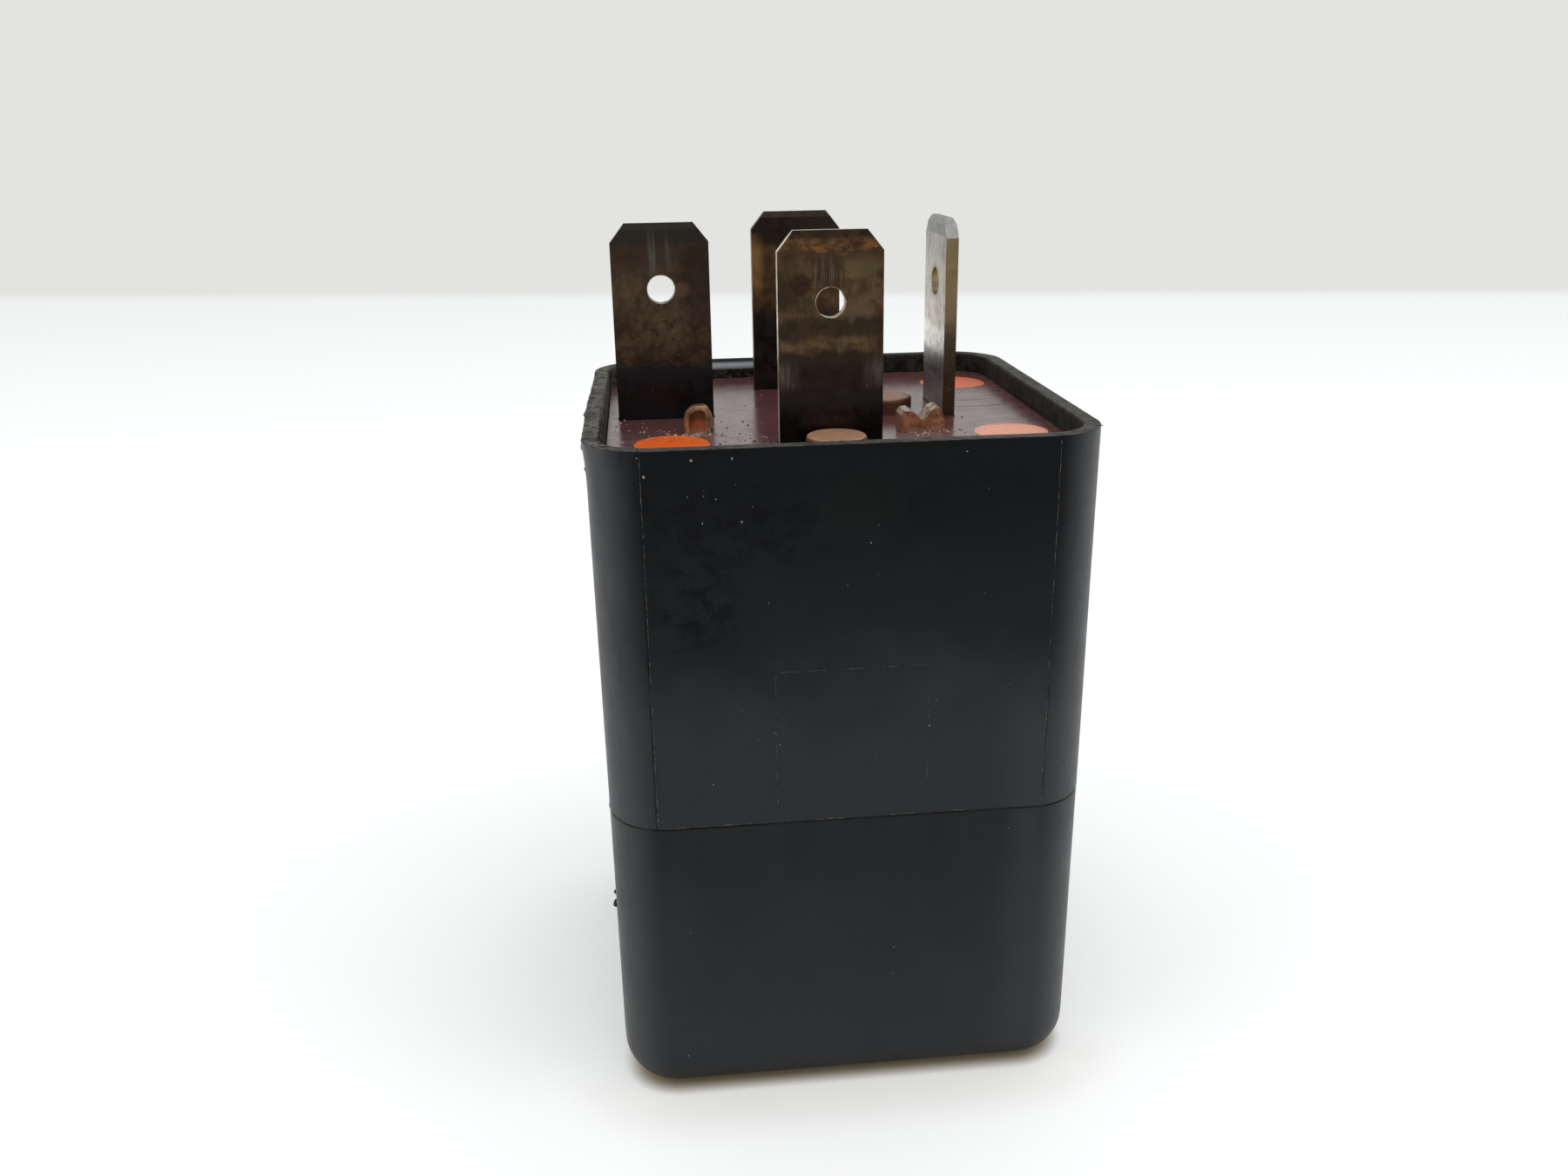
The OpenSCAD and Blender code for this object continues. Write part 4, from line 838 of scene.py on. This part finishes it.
def ribbon(points, normals, width, height, rng, gaps=0, closed=False):
    """A ragged ridge of moulding flash along a path on the cover; gaps is the share left out."""
    sunk = -0.03
    points = np.array(points)
    out, faces = [], []
    n = len(points)
    run, keep = 0, True
    for i, (p, normal) in enumerate(zip(points, np.broadcast_to(normals, (n, 3)))):
        after = points[(i + 1) % n if closed else min(i + 1, n - 1)]
        before = points[i - 1 if closed else max(i - 1, 0)]
        along = after - before
        along = along / max(np.linalg.norm(along), 1e-9)
        side = np.cross(normal, along)
        if run <= 0:
            keep = rng.random() > gaps
            run = rng.randint(1, 6) if keep else rng.randint(2, 8)
        run -= 1
        tall = height * rng.uniform(0.15, 1) if keep else sunk
        if not closed and i in (0, n - 1):
            tall = sunk
        half = width / 2 * rng.uniform(0.6, 1.25)
        shift = side * rng.uniform(-0.3, 0.3) * half
        base = p - normal * 0.06 + shift
        out += [base - side * half, p + normal * tall + shift, base + side * half]
    for i in range(n if closed else n - 1):
        a, b = 3 * i, 3 * ((i + 1) % n)
        faces += [(a, b, b + 1, a + 1), (a + 1, b + 1, b + 2, a + 2), (a + 2, b + 2, b, a)]
    if not closed:
        faces += [(0, 1, 2), (3 * n - 1, 3 * n - 2, 3 * n - 3)]
    return out, faces


def insert_outline():
    """The path of a mould insert's edge on the front: up, over two rounded corners, down."""
    left, right, top, foot = -4.78, 4.55, 30.15, PARTING + 1.2
    r, step = 0.42, 0.14
    turn = [radians(a) for a in range(0, 91, 15)]
    path = [(left, z) for z in np.arange(foot, top - r, step)]
    path += [(left + r - r * cos(a), top - r + r * sin(a)) for a in turn]
    path += [(x, top) for x in np.arange(left + r + step, right - r * 0.5, step)]
    path += [(right - (r - r * sin(a)) * 0.5, top - (r - r * cos(a)) * 0.5) for a in turn]
    path += [(right, z) for z in np.arange(top - r - 0.1, foot, -step)]
    return [(x, outer_inset(z) - skin(z) - HALF_D, z) for x, z in path]


def flash_lines():
    """Ridges of flash at the parting line, up the corners and round an insert's outline."""
    rng = Random(17)
    # Round the cover at the parting line
    ring = perimeter(0.3, 30)
    parts = [ribbon([wall_point(*c, PARTING + 0.04) for c in ring],
                    [(nx, ny, 0) for *_, nx, ny in ring], 0.11, 0.045, rng, 0.3, True)]
    # Up the four rounded corners, where the mould's slides met
    heights = np.arange(PARTING + 0.1, RIM_TOP - 0.05, 0.14)
    for corner, angle, gaps in (((-CX, -CY), 270 - 11.8, 0.06), ((CX, -CY), 270 + 8, 0.05),
                                ((CX, CY), 90 - 11.8, 0.4), ((-CX, CY), 90 + 8, 0.3)):
        a = radians(angle)
        n = (cos(a), sin(a))
        parts.append(ribbon([wall_point(*corner, *n, z) for z in heights], (*n, 0),
                            0.115, 0.055, rng, gaps))
    parts.append(ribbon(insert_outline(), (0, -1, 0), 0.09, 0.035, rng, 0.1))
    material = spotted("flash_line_plastic", (0.42, 0.62, 2.2, 3, 0.7), (0.02, 0.0205, 0.021),
                       (0.1, 0.099, 0.092), TORN_GLOSS, (9, 0.01),
                       ((0.34, 0.33, 0.31), 1.6, 0.08, 0.25), shine=0.3)
    piece("mould_flash", parts, material, 60)


def rim_edge():
    """The thin burr along the rim's outer edge, pale as a painted edge highlight, with a few
    shavings on its east side.
    """
    rng = Random(29)
    ring = perimeter(0.2, 34)
    up = (0, 0, 1)
    r = CORNER_R - 0.05
    edge = [(ax + nx * r, ay + ny * r, RIM_TOP - 0.012) for ax, ay, nx, ny in ring]
    parts = [ribbon(edge, up, 0.06, 0.01, rng, 0.4, True)]
    for _ in range(9):
        x, y = HALF_W - rng.uniform(0.15, 0.9), rng.uniform(-12.4, -8.6)
        turn = rng.uniform(0.3, 2.6)
        length = rng.uniform(0.4, 1)
        bend = rng.uniform(-0.5, 0.5)
        path = [(min(x + cos(turn) * s * length, HALF_W - 0.06),
                 y + sin(turn) * s * length + bend * s * s, RIM_TOP - 0.03)
                for s in (k / 6 - 0.5 for k in range(7))]
        parts.append(ribbon(path, up, 0.05, 0.025, rng))
    material = spotted("rim_burr_plastic", (0.4, 0.68, 1.3, 4, 0.7), (0.02, 0.02, 0.019),
                       (0.13, 0.127, 0.118), TORN_GLOSS, (9, 0.008),
                       ((0.34, 0.32, 0.29), 2.4, 0.06, 0.2), shine=0.3)
    piece("rim_edge_burr", parts, material, 60)


def lump(centre, size, rng, rough=0.4, sub=2, scale=1):
    """A small irregular lump as points and faces, from its half sizes and their scale."""
    bm = bmesh.new()
    bmesh.ops.create_icosphere(bm, subdivisions=sub, radius=1)
    half = np.array(size) * scale
    points = [centre + np.array(v.co) * half * (1 + rng.uniform(-rough, rough)) for v in bm.verts]
    faces = [tuple(v.index for v in f.verts) for f in bm.faces]
    bm.free()
    return points, faces


# Lumps of flash on the rim's west side: y, how far under the rim, and their half sizes
RIM_LUMPS = ((-2.9, 0.34, (0.3, 0.6, 0.26)), (-2.3, 0.2, (0.18, 0.5, 0.18)),
             (-3.4, 0.55, (0.22, 0.3, 0.2)), (-10.9, 0.5, (0.2, 1, 0.4)),
             (-10.3, 1, (0.1, 0.5, 0.4)), (-6.6, 0.1, (0.1, 0.5, 0.08)),
             (-8.7, 0.2, (0.1, 0.6, 0.14)))
# Lumps on the west wall: y, z and half sizes
WALL_LUMPS = ((-10.6, 41.9, (0.14, 0.16, 0.16)), (-10.9, 12.5, (0.26, 0.24, 0.24)),
              (-10.6, 13.2, (0.2, 0.14, 0.16)))


def rim_burrs():
    """Lumps of flash that stand out from the rim's west side and from the side walls."""
    rng = Random(23)
    parts = [lump((-0.07 - HALF_W, y, RIM_TOP - drop), size, rng, 0.35)
             for y, drop, size in RIM_LUMPS]
    parts += [lump((outer_inset(z) - skin(z) + 0.02 - HALF_W, y, z), size, rng)
              for y, z, size in WALL_LUMPS]
    parts.append(lump((HALF_W - 0.08, -10.9, 36.4), (0.12, 0.16, 0.16), rng))
    # Grains along the west land, and fine burrs down the silhouettes
    for _ in range(60):
        place = (rng.uniform(0.08, 0.75) - HALF_W, rng.triangular(-12.5, 6, -9.5), RIM_TOP - 0.04)
        parts.append(lump(place, (0.07, 0.1, 0.045), rng, scale=rng.uniform(0.5, 1.3)))
    for _ in range(46):
        z = rng.uniform(4, 43)
        x = rng.choice((-1, 1)) * (HALF_W - outer_inset(z) + skin(z))
        place = (x, rng.uniform(-11.2, -8), z)
        parts.append(lump(place, (0.035, 0.06, 0.06), rng, sub=1, scale=rng.uniform(0.6, 1.4)))
    piece("rim_burrs", parts, burr_plastic(), 80)


# The clear specks on the front: x, z and size
FRONT_SPECKS = ((-12.31, 43.5, 0.1), (-12, 42.45, 0.16), (-9.32, 43.3, 0.12), (-7.02, 43.3, 0.08),
    (-6.56, 39.6, 0.08), (-8.8, 39.6, 0.08), (6.41, 43.2, 0.1), (-9.6, 41.2, 0.06),
    (-8.7, 41.2, 0.06), (-8, 41, 0.06), (-5.1, 34.6, 0.06), (0.9, 38, 0.06),
    (-4.9, 26.2, 0.07), (-4.6, 25.4, 0.07), (4.6, 26.1, 0.07), (-8.7, 23, 0.07),
    (9.9, 18.6, 0.07), (2.6, 10.4, 0.06), (2.6, 8.4, 0.06), (-11, 3.2, 0.07))


def dust_specks():
    """Pale specks of dust on the walls: a few clear ones on the front, finer ones all round."""
    rng = Random(31)
    parts = []
    for x, z, size in FRONT_SPECKS:
        column = (np.clip(x, -CX, CX), -CY)
        nx = (x - column[0]) / CORNER_R
        place = wall_point(*column, nx, -sqrt(1 - nx * nx), z, 0.01)
        parts.append(lump(place, (size * 0.62, 0.03, size * rng.uniform(0.5, 1)), rng, sub=1))
    ring = perimeter(0.9, 12)
    for _ in range(110):
        column = ring[rng.randrange(len(ring))]
        z = rng.triangular(3, 43, 40) if rng.random() < 0.6 else rng.uniform(3, 43)
        parts.append(lump(wall_point(*column, z), (1, 1, 1), rng, sub=1,
                          scale=rng.uniform(0.014, 0.036)))
    piece("dust_specks", parts,
          crumb_material("pale_dust", (0.09, 0.09, 0.085), (0.34, 0.34, 0.32)), 80)


# Where crumbs lie on the board: how many, their middle, spread and size
PALE_CRUMBS = ((46, (-8.2, LEFT_TONGUE_Y - 0.4), (0.9, 0.35), 0.075),
               (26, (-11.3, -4.4), (1.3, 1), 0.05), (40, (6.2, YOKE_Y - 0.4), (1.3, 0.4), 0.075),
               (32, (-4.6, -7.6), (1, 1.3), 0.05), (24, (0, -13.2), (9, 0.35), 0.06),
               (18, (-13.4, -6), (0.25, 5), 0.06), (30, (0, 0), (8, 8), 0.035))
DARK_CRUMBS = ((12, (8.2, -2.7), (0.5, 0.3), 0.07), (16, (-5.6, -6), (1.2, 2.4), 0.06),
               (20, (0, 0), (9, 8), 0.045))


def crumbs():
    """Crumbs of old flux and dirt on the board, thickest round the tongue and the lug."""
    rng = Random(37)
    for name, heaps, dark, pale in (
            ("pale_crumbs", PALE_CRUMBS, (0.2, 0.14, 0.1), (0.56, 0.48, 0.39)),
            ("dark_crumbs", DARK_CRUMBS, (0.012, 0.009, 0.008), (0.06, 0.035, 0.02))):
        parts = []
        for count, centre, spread, size in heaps:
            for _ in range(count):
                x, y = rng.gauss(centre[0], spread[0]), rng.gauss(centre[1], spread[1])
                if max(abs(x), abs(y)) > 13.9:
                    continue
                s = size * rng.uniform(0.4, 1.3)
                parts.append(lump((x, y, BOARD_TOP + s * 0.2), (1.2, 1, 0.6), rng, 0.45, 1, s))
        piece(name, parts, crumb_material(name + "_dirt", dark, pale), 80)


def hole_edges():
    """The bright turned edge of each blade's hole, front and back."""
    round_count, section_count = 48, 5
    parts = []
    for centre, place, facing in BLADES:
        for side in (-1, 1):
            rng = Random(len(parts))
            points = []
            for i in range(round_count):
                a = 2 * pi * i / round_count
                wobble = rng.uniform(-0.008, 0.008)
                for j in range(section_count):
                    b = 2 * pi * j / section_count
                    r = HOLE_R + 0.006 + wobble + 0.02 * cos(b)
                    out = place + side * (BLADE_T / 2 + 0.001 + 0.014 * sin(b))
                    across, z = centre + r * cos(a), TIP - HOLE_DROP + r * sin(a)
                    points.append((across, out, z) if facing == "y" else (out, across, z))
            parts.append((points, ring_faces(round_count, section_count)))
    # Bronze worn bright in places
    material = spotted("worn_edge_bronze", (0.4, 0.62, 0.8, 3, 0.65), (0.07, 0.05, 0.033),
                       (0.46, 0.39, 0.29), (0.28, 0.42), (8, 0.006), Metallic=1)
    piece("hole_edges", parts, material)


def former_flash():
    """Thin ragged orange skirts where the former's studs were flattened into the board."""
    count = 90
    parts = []
    for k, (cx, cy) in enumerate(STUDS):
        edge = waves(9, 1.5, 50 + k)
        points = []
        for i in range(count):
            a = 2 * pi * i / count
            c, s = cos(a), sin(a)
            ragged = max(0, edge(a * 2.2)) ** 1.5 * (1.2 if c > 0.3 else 0.35)
            skirt = STUD_R + 0.03 + 0.16 * ragged
            section = ((STUD_R - 0.25, -0.02), (STUD_R - 0.2, 0.02), (skirt, 0.006), (skirt, -0.02))
            points += [(cx + c * r, cy + s * r, BOARD_TOP + dz) for r, dz in section]
        parts.append((points, ring_faces(count, len(section))))
    piece("former_flash", parts, MATERIALS["coil_former"])


build_cover()
flash_lines()
rim_edge()
rim_burrs()
dust_specks()
crumbs()
hole_edges()
former_flash()


# ---- floor and light ----
def make_floor():
    mesh = bpy.data.meshes.new("floor")
    mesh.from_pydata([(-3, -3, 0), (3, -3, 0), (3, 3, 0), (-3, 3, 0)], [], [(0, 1, 2, 3)])
    scene_object("floor", mesh)
    m = Mat("floor_card")
    # How far back a point lies, square to the background, in millimetres
    depth = m.add(m.times(m.x, 0.1986), m.times(m.y, 0.98))
    # A warm, dark painted shadow where the foot's rounded edge comes down to the floor, and a faint
    # painted shadow spreading in front
    reach = m.reach()
    contact = m.map(reach, CORNER_R + 0.3, CORNER_R - 1.7)
    front = m.times(m.map(reach, CORNER_R + 5.5, CORNER_R + 1), m.map(m.y, -11, -15), 0.15)
    near = m.most(contact, front)
    card = m.node("BsdfDiffuse", m.mix(near, (0.8, 0.8, 0.795), (0.37, 0.3, 0.2))).outputs[0]
    path = m.node("LightPath").outputs
    seen = m.most(path["Is Camera Ray"], path["Is Glossy Ray"], path["Is Transmission Ray"])
    # The glow dims a little towards the back: a painted falloff of light
    strength = m.times(seen, m.map(depth, 150, 400, FLOOR_GLOW, FLOOR_GLOW - 0.02))
    glow = m.node("Emission", m.mix(near, (1, 1, 0.995), (0.1, 0.075, 0.04)), strength).outputs[0]
    lit = m.node("AddShader", card, glow).outputs[0]
    far = m.node("Emission", BACKGROUND).outputs[0]
    mixed = m.node("MixShader", m.times(m.map(depth, 402, 440), seen), lit, far)
    m.put(m.tree.nodes["Material Output"].inputs["Surface"], mixed.outputs[0])
    mesh.materials.append(m.material)


def make_world():
    world = bpy.data.worlds.new("world")
    bpy.context.scene.world = world
    world.use_nodes = True
    w = Nodes(world.node_tree)
    sky = w.tree.nodes["Background"]
    for socket, value in zip(sky.inputs, (SKY, SKY_STRENGTH)):
        w.put(socket, value)
    background = w.node("Background", BACKGROUND).outputs[0]
    path = w.node("LightPath").outputs
    seen = w.most(path["Is Camera Ray"], path["Is Glossy Ray"])
    mixed = w.node("MixShader", seen, sky.outputs[0], background)
    w.put(w.tree.nodes["World Output"].inputs["Surface"], mixed.outputs[0])


def area_light(name, place, target, size, power):
    data = bpy.data.lights.new(name, "AREA")
    data.shape, data.size, data.size_y, data.energy = "RECTANGLE", *size, power
    lamp = scene_object(name, data)
    lamp.location = place
    lamp.rotation_euler = (Vector(target) - Vector(place)).to_track_quat("-Z", "Y").to_euler()


make_floor()
make_world()
area_light("overhead", (0.05, -0.1, 0.6), (0, 0, 0), (0.5, 0.45), 1.1)
area_light("left_bank", (-0.52, -0.2, 0.3), (0, 0, 0.02), (0.35, 0.45), 0.6)
area_light("right_bank", (0.52, -0.2, 0.3), (0, 0, 0.02), (0.35, 0.45), 0.6)

bpy.context.scene.view_settings.view_transform = "Standard"
